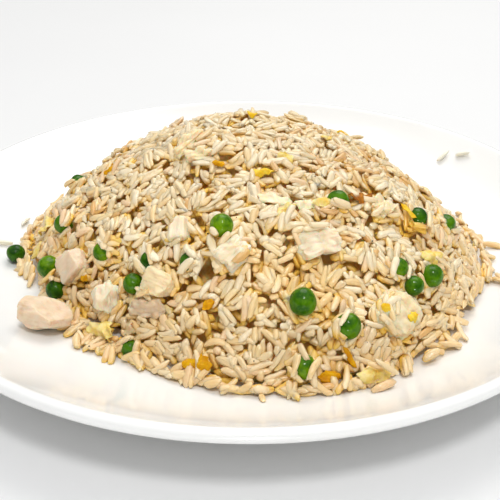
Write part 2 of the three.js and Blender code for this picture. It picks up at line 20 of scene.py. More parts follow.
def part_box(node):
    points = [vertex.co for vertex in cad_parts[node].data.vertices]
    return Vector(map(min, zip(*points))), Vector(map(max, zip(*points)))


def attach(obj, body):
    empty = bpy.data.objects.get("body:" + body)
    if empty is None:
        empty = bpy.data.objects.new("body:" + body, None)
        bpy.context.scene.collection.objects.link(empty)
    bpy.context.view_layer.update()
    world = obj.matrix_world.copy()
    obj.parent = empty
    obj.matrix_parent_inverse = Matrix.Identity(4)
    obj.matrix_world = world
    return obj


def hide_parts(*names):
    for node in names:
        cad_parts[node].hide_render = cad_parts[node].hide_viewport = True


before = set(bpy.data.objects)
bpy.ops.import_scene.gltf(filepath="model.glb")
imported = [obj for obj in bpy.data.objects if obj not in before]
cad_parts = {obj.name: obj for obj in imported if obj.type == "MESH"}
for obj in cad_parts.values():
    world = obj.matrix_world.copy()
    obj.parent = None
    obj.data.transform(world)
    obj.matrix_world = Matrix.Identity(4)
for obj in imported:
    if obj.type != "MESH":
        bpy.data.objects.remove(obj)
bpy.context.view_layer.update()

MM = 0.001
SEED = 506
Colour = tuple[float, float, float]
Socket = bpy.types.NodeSocket
Value = Union[Socket, float]

log = logging.getLogger("fried_rice")


# Meshes


def unit(vectors: np.ndarray) -> np.ndarray:
    """Vectors of length 1 along the given ones, along the last axis."""
    return vectors / np.maximum(np.linalg.norm(vectors, axis=-1, keepdims=True), 1e-12)


@dataclass(frozen=True)
class Waves:
    """A smooth unevenness in space: the sum of a few waves, each with its own heading and phase.

    Attributes:
        pitch: The usual distance from one crest to the next.
        seed: What the headings and phases are drawn from.
        count: How many waves are summed.
    """

    pitch: float
    seed: int
    count: int = 9

    def at(self, points: np.ndarray) -> np.ndarray:
        """The unevenness at some points.

        Args:
            points: Places, with x, y, z along the last axis.

        Returns:
            One value for each point, mostly between -1.5 and 1.5.
        """
        draw = np.random.default_rng(self.seed)
        ways = unit(draw.normal(size=(self.count, 3)))
        ways *= 2 * np.pi / self.pitch * draw.uniform(0.7, 1.5, (self.count, 1))
        phases = draw.uniform(0, 2 * np.pi, self.count)
        return np.sin(points @ ways.T + phases).sum(-1) * math.sqrt(2 / self.count)


def ball_faces(bands: int, sides: int) -> np.ndarray:
    """Triangles that join a low pole, bands - 1 rings of points and a high pole.

    Args:
        bands: How many bands lie between the poles.
        sides: How many points each ring has.

    Returns:
        One row of three point numbers for each triangle, facing outwards.
    """
    ring = np.arange(sides)
    after = (ring + 1) % sides
    rows = [np.stack([np.zeros(sides, int), 1 + after, 1 + ring], -1)]
    for band in range(bands - 2):
        low, high = 1 + band * sides, 1 + (band + 1) * sides
        rows.append(np.stack([low + ring, low + after, high + after], -1))
        rows.append(np.stack([low + ring, high + after, high + ring], -1))
    last = 1 + (bands - 2) * sides
    pole = np.full(sides, 1 + (bands - 1) * sides)
    rows.append(np.stack([last + ring, last + after, pole], -1))
    return np.concatenate(rows)


def ball_angles(bands: int, sides: int) -> tuple[np.ndarray, np.ndarray]:
    """The latitude and longitude of each point of a ball, in the order that ball_faces joins.

    Args:
        bands: How many bands lie between the poles.
        sides: How many points each ring has.

    Returns:
        The latitudes, from -pi / 2 to pi / 2, and the longitudes.
    """
    latitudes = np.repeat(np.linspace(-np.pi / 2, np.pi / 2, bands + 1)[1:-1], sides)
    longitudes = np.tile(np.arange(sides) * 2 * np.pi / sides, bands - 1)
    ends = np.array([np.pi / 2])
    return (
        np.concatenate([-ends, latitudes, ends]),
        np.concatenate([[0.0], longitudes, [0.0]]),
    )


def ball_points(bands: int, sides: int) -> np.ndarray:
    """Points of a ball of radius 1, in the order that ball_faces joins.

    Args:
        bands: How many bands lie between the poles.
        sides: How many points each ring has.

    Returns:
        One row of x, y, z for each point.
    """
    latitude, longitude = ball_angles(bands, sides)
    flat = np.cos(latitude)
    return np.stack([flat * np.cos(longitude), flat * np.sin(longitude), np.sin(latitude)], -1)


def repeated(faces: np.ndarray, each: int, count: int) -> np.ndarray:
    """The triangles of many copies of a shape whose points follow one after another.

    Args:
        faces: The triangles of one.
        each: How many points it has.
        count: How many copies there are.

    Returns:
        One row of three point numbers for each triangle.
    """
    return (faces[None] + each * np.arange(count)[:, None, None]).reshape(-1, 3)


def block_shape(cuts: int) -> tuple[np.ndarray, np.ndarray]:
    """A cube from -1 to 1 whose faces are divided into a grid.

    Args:
        cuts: How many cuts cross each edge.

    Returns:
        The points, and the triangles that join them.
    """
    grid = bmesh.new()
    bmesh.ops.create_cube(grid, size=2)
    bmesh.ops.subdivide_edges(grid, edges=grid.edges[:], cuts=cuts, use_grid_fill=True)
    bmesh.ops.triangulate(grid, faces=grid.faces[:])
    grid.verts.ensure_lookup_table()
    points = np.array([tuple(vertex.co) for vertex in grid.verts])
    faces = np.array([[vertex.index for vertex in face.verts] for face in grid.faces])
    grid.free()
    return points, faces


def turned(profile: np.ndarray, sides: int) -> tuple[np.ndarray, np.ndarray]:
    """The surface that a profile sweeps about the Z axis.

    Args:
        profile: Distance from the axis and height of each point, from one end on the axis to the
            other.
        sides: How many steps make one turn.

    Returns:
        The points, and the triangles that join them.
    """
    turn = np.arange(sides) * 2 * np.pi / sides
    inner = profile[1:-1]
    rings = np.stack(
        [
            inner[:, None, 0] * np.cos(turn),
            inner[:, None, 0] * np.sin(turn),
            np.repeat(inner[:, None, 1], sides, 1),
        ],
        -1,
    )
    ends = np.array([[0, 0, profile[0, 1]], [0, 0, profile[-1, 1]]])
    points = np.concatenate([ends[:1], rings.reshape(-1, 3), ends[1:]])
    return points, ball_faces(len(profile) - 1, sides)


def mesh_piece(
    name: str,
    points: np.ndarray,
    faces: np.ndarray,
    material: bpy.types.Material,
    colours: Optional[dict[str, np.ndarray]] = None,
) -> bpy.types.Object:
    """A smooth mesh object from triangles.

    Args:
        name: The object's name.
        points: Its points, in millimetres.
        faces: Three point numbers for each triangle.
        material: What it is dressed in.
        colours: Four numbers for each point under each attribute's name.

    Returns:
        The object, in the scene.
    """
    mesh = bpy.data.meshes.new(name)
    mesh.vertices.add(len(points))
    mesh.vertices.foreach_set("co", (points * MM).astype(np.float32).ravel())
    mesh.loops.add(faces.size)
    mesh.loops.foreach_set("vertex_index", faces.astype(np.int32).ravel())
    mesh.polygons.add(len(faces))
    mesh.polygons.foreach_set("loop_start", np.arange(0, faces.size, 3, dtype=np.int32))
    mesh.update(calc_edges=True)
    mesh.shade_smooth()
    for attribute, values in (colours or {}).items():
        layer = mesh.attributes.new(attribute, "FLOAT_COLOR", "POINT")
        layer.data.foreach_set("color", values.astype(np.float32).ravel())
    mesh.materials.append(material)
    piece = bpy.data.objects.new(name, mesh)
    bpy.context.scene.collection.objects.link(piece)
    return piece


def settle(piece: bpy.types.Object, slot: str, *nodes: str) -> bpy.types.Object:
    """Gives a piece its place in the part: what it moves with and what it stands for.

    Args:
        piece: The piece.
        slot: The record's material slot; not used.
        nodes: The solids that it replaces.

    Returns:
        The same piece.
    """
    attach(piece, "root")
    if nodes:
        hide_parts(*nodes)
    log.info("%s: %d triangles", piece.name, len(piece.data.polygons))
    return piece


@dataclass(frozen=True)
class Lie:
    """How a solid lies.

    Attributes:
        middle: Its middle.
        axes: Its long, wide and thin directions, one to a row, the thin one pointing up.
        size: How far it reaches along each.
    """

    middle: np.ndarray
    axes: np.ndarray
    size: np.ndarray

    @classmethod
    def of(cls, node: str) -> "Lie":
        """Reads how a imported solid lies.

        Args:
            node: The solid's name.

        Returns:
            Its middle, directions and size.
        """
        points = np.array([tuple(vertex.co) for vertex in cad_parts[node].data.vertices])
        points = np.unique(np.round(points / MM, 3), axis=0)
        spread = np.cov((points - points.mean(0)).T)
        axes = np.linalg.eigh(spread)[1].T[::-1]
        axes[2] *= math.copysign(1, axes[2, 2])
        axes[0] = np.cross(axes[1], axes[2])
        reach = points @ axes.T
        low, high = reach.min(0), reach.max(0)
        return cls((low + high) / 2 @ axes, axes, high - low)

    def out(self, points: np.ndarray) -> np.ndarray:
        """Points given in the solid's own directions, in the part's frame."""
        return points @ self.axes + self.middle


# Finishes


class Paint:
    """A material under construction: its shader, and the nodes that feed it."""

    def __init__(self, name: str, **sockets: float) -> None:
        """Starts a material.

        Args:
            name: The material's name.
            sockets: Shader values that are the same all over, with spaces written as underscores.
        """
        self.material = bpy.data.materials.new(name)
        self.material.use_nodes = True
        self._tree = self.material.node_tree
        self.shader = self._tree.nodes["Principled BSDF"]
        for socket, value in sockets.items():
            self.shader.inputs[socket.replace("_", " ")].default_value = value

    def _set(self, socket: Socket, value: Union[Value, Colour]) -> None:
        """Links a socket to another, or gives it a value."""
        if isinstance(value, Socket):
            self._tree.links.new(value, socket)
        elif isinstance(value, tuple):
            socket.default_value = (*value, 1.0)[: len(socket.default_value)]
        else:
            socket.default_value = value

    def feed(self, socket: str, value: Union[Value, Colour]) -> None:
        """Feeds one of the shader's sockets."""
        self._set(self.shader.inputs[socket], value)

    def place(self) -> Socket:
        """The place on the object, in metres."""
        return self._tree.nodes.new("ShaderNodeTexCoord").outputs["Object"]

    def attribute(self, name: str) -> tuple[Socket, Socket]:
        """A colour attribute of the mesh.

        Args:
            name: The attribute's name.

        Returns:
            Its colour or vector, and its fourth number.
        """
        node = self._tree.nodes.new("ShaderNodeAttribute")
        node.attribute_name = name
        return node.outputs["Vector"], node.outputs["Alpha"]

    def parts(self, vector: Socket) -> tuple[Socket, Socket, Socket]:
        """The three numbers of a vector."""
        node = self._tree.nodes.new("ShaderNodeSeparateXYZ")
        self._set(node.inputs[0], vector)
        return node.outputs[0], node.outputs[1], node.outputs[2]

    def stretched(self, vector: Socket, scale: Colour) -> Socket:
        """A vector with each of its numbers scaled."""
        node = self._tree.nodes.new("ShaderNodeMapping")
        self._set(node.inputs["Vector"], vector)
        node.inputs["Scale"].default_value = scale
        return node.outputs["Vector"]

    def noise(self, pitch: float, detail: float = 2.0, at: Optional[Socket] = None) -> Socket:
        """A cloudy pattern from 0 to 1.

        Args:
            pitch: Its usual width, in millimetres.
            detail: How many finer layers it has.
            at: Where it is read; the place on the object if nothing is given.

        Returns:
            The pattern's value.
        """
        node = self._tree.nodes.new("ShaderNodeTexNoise")
        self._set(node.inputs["Vector"], at or self.place())
        node.inputs["Scale"].default_value = 1 / (pitch * MM)
        node.inputs["Detail"].default_value = detail
        return node.outputs["Fac"]

    def ranged(self, value: Socket, low: float, high: float, to: Sequence[float] = (0, 1)) -> Socket:
        """A value taken from one range to another, smoothly and held at its ends.

        Args:
            value: The value.
            low: Where the first range starts.
            high: Where it ends.
            to: The second range.

        Returns:
            The new value.
        """
        node = self._tree.nodes.new("ShaderNodeMapRange")
        node.interpolation_type = "SMOOTHSTEP"
        self._set(node.inputs["Value"], value)
        for socket, number in zip(("From Min", "From Max", "To Min", "To Max"), (low, high, *to)):
            node.inputs[socket].default_value = number
        return node.outputs["Result"]

    def combined(self, operation: str, first: Value, second: Value = 0.0) -> Socket:
        """Two values put together by an operation such as MULTIPLY or ADD."""
        node = self._tree.nodes.new("ShaderNodeMath")
        node.operation = operation
        self._set(node.inputs[0], first)
        self._set(node.inputs[1], second)
        return node.outputs[0]

    def mixed(self, share: Value, first: Union[Socket, Colour], second: Union[Socket, Colour]) -> Socket:
        """Two colours mixed.

        Args:
            share: How much of the second one there is.
            first: The colour at a share of 0.
            second: The colour at a share of 1.

        Returns:
            The mixed colour.
        """
        node = self._tree.nodes.new("ShaderNodeMix")
        node.data_type = "RGBA"
        self._set(node.inputs[0], share)
        self._set(node.inputs[6], first)
        self._set(node.inputs[7], second)
        return node.outputs[2]

    def relief(self, height: Socket, depth: float) -> None:
        """Adds bumps to the surface, on top of those that it has.

        Args:
            height: A pattern from 0 to 1.
            depth: How deep it is, in millimetres.
        """
        node = self._tree.nodes.new("ShaderNodeBump")
        node.inputs["Distance"].default_value = depth * MM
        self._set(node.inputs["Height"], height)
        normal = self.shader.inputs["Normal"]
        if normal.links:
            self._set(node.inputs["Normal"], normal.links[0].from_socket)
        self._set(normal, node.outputs["Normal"])


@dataclass(frozen=True)
class Glaze:
    """White glazed porcelain, faintly uneven, with thin smears of oil up its inside wall."""

    white: Colour = (0.90, 0.90, 0.885)
    oil: Colour = (0.90, 0.80, 0.60)
    smear_pitch: float = 9.0
    smear_share: float = 0.05
    smeared_from: float = 92.0
    smeared_to: float = 122.0
    waviness: float = 0.05

    def make(self) -> bpy.types.Material:
        """The material of the plate."""
        paint = Paint("glazed_porcelain", Coat_Weight=0.4, Coat_Roughness=0.05, Coat_IOR=1.5)
        x, y, _ = paint.parts(paint.place())
        squares = [paint.combined("MULTIPLY", way, way) for way in (x, y)]
        out = paint.combined("POWER", paint.combined("ADD", *squares), 0.5)
        middle = (self.smeared_from + self.smeared_to) / 2
        half = (self.smeared_to - self.smeared_from) / 2
        apart = paint.combined("ABSOLUTE", paint.combined("SUBTRACT", out, middle * MM))
        ring = paint.ranged(apart, half * MM / 2, half * MM, (self.smear_share, 0.0))
        smear = paint.ranged(paint.noise(self.smear_pitch, 4.0), 0.48, 0.72)
        share = paint.combined("MULTIPLY", ring, smear)
        paint.feed("Base Color", paint.mixed(share, self.white, self.oil))
        paint.feed("Roughness", paint.ranged(paint.noise(60.0, 3.0), 0.3, 0.7, (0.16, 0.26)))
        paint.relief(paint.noise(30.0, 1.0), self.waviness)
        return paint.material


@dataclass(frozen=True)
class Rice:
    """The skin of one kind of cooked grain.

    Attributes:
        name: The material's name.
        fair: The colour of the palest grains.
        deep: The colour of the darkest.
        stain: The colour that sauce leaves on them in patches.
        stained: How much of a grain the stain may cover.
        seat: The colour of the sauce between grains, low in the heap; it also paints warm shade into the
            crevices between them.
        sauce_and_shade_strength: How strongly it colours them there.
        sauce_and_shade_depth: Where it starts and where it is full, in millimetres below the top of the
            rice.
        low: The colour that they take near the plate.
        lowest: How strongly they take it there.
        low_heights: Where it is full and where it ends, in metres.
        gold: The colour of rice that a splash of sauce has soaked.
        golden: How strongly it colours them.
        dry: The colour of the drier grains round the crest.
        driest: How strongly they take it there.
        dry_heights: Where it starts and where it is full, in metres.
        tip: The colour of the ends.
        tipped: How strongly they take it.
        streaked: How strongly the streaks along a grain take its darker colour.
        streak_pitch: How far apart those are.
        streak_depth: How deep.
        patch_pitch: How wide the stains are.
        glow: How far light comes through, from 0 to 1.
        wet: How oily the skin is.
        roughness: The least and the most that it blurs a reflection.
    """

    name: str
    fair: Colour
    deep: Colour
    stain: Colour = (0.76, 0.44, 0.12)
    stained: float = 0.3
    # The seat colour is sauce between the grains and painted warm shade in the crevices, taken more the
    # deeper a point lies.
    seat: Colour = (0.96, 0.58, 0.06)
    sauce_and_shade_strength: float = 0.9
    sauce_and_shade_depth: tuple[float, float] = (0.4, 3.0)
    low: Colour = (0.88, 0.56, 0.22)
    lowest: float = 0.5
    low_heights: tuple[float, float] = (0.006, 0.034)
    gold: Colour = (0.88, 0.54, 0.15)
    golden: float = 0.6
    dry: Colour = (0.74, 0.59, 0.38)
    driest: float = 0.3
    dry_heights: tuple[float, float] = (0.038, 0.060)
    tip: Colour = (0.92, 0.80, 0.56)
    tipped: float = 0.25
    streaked: float = 0.4
    streak_pitch: float = 1.0
    streak_depth: float = 0.5
    patch_pitch: float = 2.6
    glow: float = 0.5
    wet: float = 0.6
    roughness: tuple[float, float] = (0.34, 0.52)

    def make(self) -> bpy.types.Material:
        """The material of this kind of grain."""
        paint = Paint(
            self.name,
            Subsurface_Weight=self.glow,
            Subsurface_Scale=1.1 * MM,
            Coat_Weight=self.wet,
            Coat_Roughness=0.16,
            Coat_IOR=1.45,
            Specular_IOR_Level=0.4,
        )
        paint.shader.inputs["Subsurface Radius"].default_value = (0.8, 0.9, 1.0)
        tone, depth = paint.attribute("grain")
        shade, end, soak = paint.parts(tone)
        skin, sauce = paint.attribute("skin")
        streaks = paint.noise(self.streak_pitch, 2.0, paint.stretched(skin, (0.16, 1.0, 1.0)))
        body = paint.mixed(shade, self.fair, self.deep)
        high = paint.parts(paint.place())[2]
        body = paint.mixed(paint.ranged(high, *self.low_heights, (self.lowest, 0.0)), body, self.low)
        body = paint.mixed(paint.ranged(high, *self.dry_heights, (0.0, self.driest)), body, self.dry)
        body = paint.mixed(paint.ranged(end, 0.6, 1.0, (0.0, self.tipped)), body, self.tip)
        body = paint.mixed(paint.ranged(streaks, 0.35, 0.6, (self.streaked, 0.0)), body, self.deep)
        patch = paint.ranged(paint.noise(self.patch_pitch, 3.0, skin), 0.42, 0.66, (0.0, self.stained))
        body = paint.mixed(paint.combined("MULTIPLY", patch, soak), body, self.stain)
        body = paint.mixed(paint.ranged(sauce, 0.0, 1.0, (0.0, self.golden)), body, self.gold)
        # Painted warm shade and sauce colour in the crevices, stronger the deeper a point lies below the top
        # of the rice.
        body = paint.mixed(paint.ranged(depth, *self.sauce_and_shade_depth, (0.0, self.sauce_and_shade_strength)), body, self.seat)
        paint.feed("Base Color", body)
        paint.feed("Roughness", paint.ranged(paint.noise(1.8, 2.0, skin), 0.3, 0.7, self.roughness))
        paint.relief(streaks, self.streak_depth)
        paint.relief(paint.noise(0.9, 2.0, skin), 0.2)
        return paint.material


@dataclass(frozen=True)
class PeaSkin:
    """The moist, glossy and faintly wrinkled skin of a cooked pea.

    Attributes:
        name: The material's name.
        bright: Its colour where it is fresh.
        deep: Its colour where it is dull.
        speck: The colour of its pale specks.
    """

    name: str
    bright: Colour
    deep: Colour
    speck: Colour

    def make(self) -> bpy.types.Material:
        """The material of the peas."""
        paint = Paint(
            self.name,
            Subsurface_Weight=0.2,
            Subsurface_Scale=1.0 * MM,
            Coat_Weight=0.34,
            Coat_Roughness=0.05,
            Specular_IOR_Level=0.04,
        )
        paint.shader.inputs["Subsurface Radius"].default_value = (0.5, 1.0, 0.1)
        cloud = paint.ranged(paint.noise(4.5, 3.0), 0.35, 0.68)
        fine = paint.ranged(paint.noise(0.8, 2.0), 0.4, 0.75, (0.0, 0.25))
        body = paint.mixed(cloud, self.deep, self.bright)
        paint.feed("Base Color", paint.mixed(fine, body, self.speck))
        paint.feed("Roughness", paint.ranged(paint.noise(2.0, 3.0), 0.35, 0.65, (0.16, 0.28)))
        paint.relief(paint.noise(1.6, 2.0), 0.2)
        paint.relief(paint.noise(0.35, 1.0), 0.012)
        return paint.material


@dataclass(frozen=True)
class Meat:
    """Cooked chicken breast: pale, fibrous, browned a little where sauce dried on it.

    Attributes:
        name: The material's name.
        pale: Its main colour.
        warm: The colour between its fibres and in cloudy patches.
        stained: How strong the stains are.
        sauce: Their colour.
    """

    name: str
    pale: Colour
    warm: Colour
    stained: float
    sauce: Colour = (0.52, 0.27, 0.08)

    def make(self) -> bpy.types.Material:
        """The material of the chicken."""
        paint = Paint(
            self.name,
            Subsurface_Weight=0.8,
            Subsurface_Scale=2.4 * MM,
            Coat_Weight=0.12,
            Coat_Roughness=0.18,
            Specular_IOR_Level=0.35,
        )
        paint.shader.inputs["Subsurface Radius"].default_value = (1.0, 0.55, 0.35)
        place = paint.attribute("fibre")[0]
        fibre = paint.noise(0.6, 2.0, paint.stretched(place, (0.12, 1.0, 1.0)))
        cloud = paint.ranged(paint.noise(5.0, 3.0), 0.35, 0.7, (0.0, 0.7))
        body = paint.mixed(cloud, self.pale, self.warm)
        body = paint.mixed(paint.ranged(fibre, 0.36, 0.56, (0.35, 0.0)), body, self.warm)
        stain = paint.ranged(paint.noise(3.4, 4.0), 0.54, 0.7, (0.0, self.stained))
        paint.feed("Base Color", paint.mixed(stain, body, self.sauce))
        paint.feed("Roughness", paint.ranged(fibre, 0.3, 0.7, (0.42, 0.62)))
        paint.relief(fibre, 0.16)
        paint.relief(paint.noise(0.9, 3.0), 0.12)
        return paint.material


@dataclass(frozen=True)
class Omelette:
    """Cooked egg in one tone: soft, uneven, with a few browned specks."""

    name: str
    pale: Colour
    rich: Colour
    brown: Colour = (0.52, 0.20, 0.02)
    browned: float = 0.2

    def make(self) -> bpy.types.Material:
        """The material of a scrap of egg."""
        paint = Paint(
            self.name,
            Subsurface_Weight=0.35,
            Subsurface_Scale=1.0 * MM,
            Coat_Weight=0.05,
            Coat_Roughness=0.15,
            Specular_IOR_Level=0.1,
        )
        paint.shader.inputs["Subsurface Radius"].default_value = (1.0, 0.6, 0.12)
        cloud = paint.ranged(paint.noise(3.2, 3.0), 0.35, 0.65)
        body = paint.mixed(cloud, self.pale, self.rich)
        speck = paint.ranged(paint.noise(1.3, 3.0), 0.58, 0.74, (0.0, self.browned))
        paint.feed("Base Color", paint.mixed(speck, body, self.brown))
        paint.feed("Roughness", paint.ranged(paint.noise(1.2, 2.0), 0.3, 0.7, (0.36, 0.58)))
        paint.relief(paint.noise(0.9, 3.0), 0.22)
        return paint.material


@dataclass(frozen=True)
class Plain:
    """A simple moist surface with a cloudy colour, for small bits, the core and the floor."""

    name: str
    first: Colour
    second: Colour
    pitch: float
    roughness: float = 0.5
    glow: float = 0.0
    clear: float = 0.0
    depth: float = 0.05

    def make(self) -> bpy.types.Material:
        """The material."""
        paint = Paint(
            self.name,
            Roughness=self.roughness,
            Subsurface_Weight=self.glow,
            Subsurface_Scale=1.0 * MM,
            Transmission_Weight=self.clear,
        )
        cloud = paint.ranged(paint.noise(self.pitch, 3.0), 0.35, 0.65)
        paint.feed("Base Color", paint.mixed(cloud, self.first, self.second))
        if self.depth:
            paint.relief(paint.noise(self.pitch / 3, 2.0), self.depth)
        return paint.material


# The plate and the heap's form


@dataclass(frozen=True)
class Plate:
    """A round dinner plate: a flat well, an inside wall that turns up late, and a rounded lip."""

    radius: float = 135.0
    height: float = 26.0
    well_radius: float = 82.0
    well_height: float = 7.0
    wall_power: float = 2.0
    lip_radius: float = 2.3
    lip_from: float = 127.0
    lip_to: float = -62.0
    belly_power: float = 1.5
    foot_outer: float = 86.0
    foot_inner: float = 81.0
    foot_depth: float = 2.8
    foot_edge: float = 1.2
    under_rings: tuple[float, ...] = (0.0, 60.0, 79.0)
    sides: int = 288

    def lip(self, degrees: np.ndarray) -> np.ndarray:
        """Points of the lip's section, at angles round its middle."""
        turn = np.radians(degrees)
        middle = np.array([self.radius - self.lip_radius, self.height - self.lip_radius])
        return middle + self.lip_radius * np.stack([np.cos(turn), np.sin(turn)], -1)

    def top(self, distance: np.ndarray) -> np.ndarray:
        """Height of the plate's upper face at distances from the middle."""
        wall_end = self.lip(np.array(self.lip_from))
        along = np.maximum(0, distance - self.well_radius) / (wall_end[0] - self.well_radius)
        return self.well_height + (wall_end[1] - self.well_height) * along**self.wall_power

    def profile(self) -> np.ndarray:
        """The plate's section.

        Returns:
            Distance and height of each point, from the middle of the underside round to the middle
            of the well.
        """
        corner = np.radians(np.linspace(0, 90, 5))
        round_x, round_z = self.foot_edge * np.sin(corner), self.foot_edge * (1 - np.cos(corner))
        inner = np.stack([self.foot_inner - round_x[::-1] + self.foot_edge, round_z[::-1]], -1)
        outer = np.stack([self.foot_outer - 1 - self.foot_edge + round_x, round_z], -1)
        lip_end = self.lip(np.array(self.lip_to))
        along = np.linspace(0, 1, 28)[:-1]
        belly = np.stack(
            [
                self.foot_outer + (lip_end[0] - self.foot_outer) * along,
                self.foot_depth + (lip_end[1] - self.foot_depth) * along**self.belly_power,
            ],
            -1,
        )
        lip = self.lip(np.linspace(self.lip_to, self.lip_from, 17))
        out = np.linspace(lip[-1, 0], self.well_radius, 30)[1:]
        wall = np.stack([out, self.top(out)], -1)
        well = np.stack([np.linspace(self.well_radius, 0, 8)[1:]] * 2, -1)
        well[:, 1] = self.well_height
        under = np.array([[ring, self.foot_depth] for ring in self.under_rings])
        return np.concatenate([under, inner, outer, belly, lip, wall, well])

    def build(self, finish: Glaze) -> bpy.types.Object:
        """Makes the plate, which stands for the faceted one.

        Args:
            finish: Its glaze.

        Returns:
            The plate.
        """
        points, faces = turned(self.profile(), self.sides)
        return settle(mesh_piece("dinner_plate", points, faces, finish.make()), "porcelain", "plate")


@dataclass(frozen=True)
class Heap:
    """The smooth form of the heap: an uneven outline and a rise that rounds off at the crest."""

    plate: Plate
    radius: float = 90.8
    rise: float = 50.0
    crown: float = 2.55
    lean: float = 1.1
    gap: float = 0.35
    outline_waves: tuple[tuple[float, int, float], ...] = (
        (3.9, 1, -38.0),
        (5.0, 2, -81.0),
        (2.7, 3, 148.0),
        (1.6, 4, 6.0),
    )
    crest: tuple[float, float] = (-11.0, 5.5)
    crest_rise: float = 6.0
    crest_spread: float = 20.0
    crest_fade: float = 3.0

    def outline(self, turn: np.ndarray) -> np.ndarray:
        """How far the heap's foot lies from the middle, at angles about the middle."""
        waves = (size * np.cos(count * turn - math.radians(at)) for size, count, at in self.outline_waves)
        return self.radius + sum(waves)

    def point(self, turn: np.ndarray, out: np.ndarray) -> np.ndarray:
        """Points of the heap's smooth face.

        Args:
            turn: Their angles about the middle.
            out: How far out they lie, from 0 on top to 1 at the foot.

        Returns:
            Their places.
        """
        reach = self.outline(turn) * out
        x = reach * np.cos(turn) + self.lean * (1 - out)
        y = reach * np.sin(turn)
        away = (x - self.crest[0]) ** 2 + (y - self.crest[1]) ** 2
        crest = np.exp(-away / (2 * self.crest_spread**2))
        rise = self.rise * (1 - out**self.crown)
        rise = rise + self.crest_rise * crest * np.minimum(1, self.crest_fade * (1 - out))
        return np.stack([x, y, self.plate.top(np.hypot(x, y)) + self.gap + rise], -1)

    def slope(self, samples: int = 400) -> tuple[np.ndarray, np.ndarray]:
        """The way down the slope.

        Args:
            samples: How many steps it is measured in.

        Returns:
            How far out each step ends, and the length of the slope down to it.
        """
        out = np.linspace(0, 1, samples + 1)
        line = self.point(np.full_like(out, np.pi), out)
        steps = np.linalg.norm(np.diff(line, axis=0), axis=1)
        return out, np.concatenate([[0], np.cumsum(steps)])


# The rice


class Kind(Enum):
    """The kinds of grain, each a piece of its own."""

    WHITE = "rice_white"
    CREAM = "rice_cream"
    BUTTERY = "rice_buttery"
    TAN = "rice_tan"
    GLASSY = "rice_glassy"
    BROWNED = "rice_browned"


@dataclass
class Grain:
    """One grain of rice as it lies.

    Attributes:
        middle: Its middle.
        along: The way it points.
        up: Away from the rice.
        length: From end to end.
        across: Its width.
        cell: The cell of the bed under its middle, or nothing off the heap.
        heading: The way it points, as an angle on the bed.
    """

    middle: np.ndarray
    along: np.ndarray
    up: np.ndarray
    length: float
    across: float
    cell: Optional[tuple[int, int]] = None
    heading: float = 0.0


@dataclass
class Rest:
    """How a grain would come to lie, and what it would cover.

    Attributes:
        grain: The grain.
        cells: The rows and columns of the cells under it.
        heights: How high it stands over each of them.
        level: How high its middle lies above the heap's smooth form.
    """

    grain: Grain
    cells: tuple[np.ndarray, np.ndarray]
    heights: np.ndarray
    level: float


@dataclass(frozen=True)
class Laying:
    """How freely a grain is laid.

    Attributes:
        steepest: The steepest that it may tilt, as rise over run.
        sink: How far it beds into what it lies on, as a part of its radius.
        over: Whether it may lie over a topping; else only its end may reach into one.
    """

    steepest: float
    sink: float
    over: bool = False


POURED = Laying(0.5, 0.9)
PRESSED = Laying(0.5, 1.2)
LAPPED = Laying(0.6, 0.9, True)
FEELER_UP = 30.0
FEELER_DOWN = 15.0
BESIDE = 6.0
BARE = -50.0


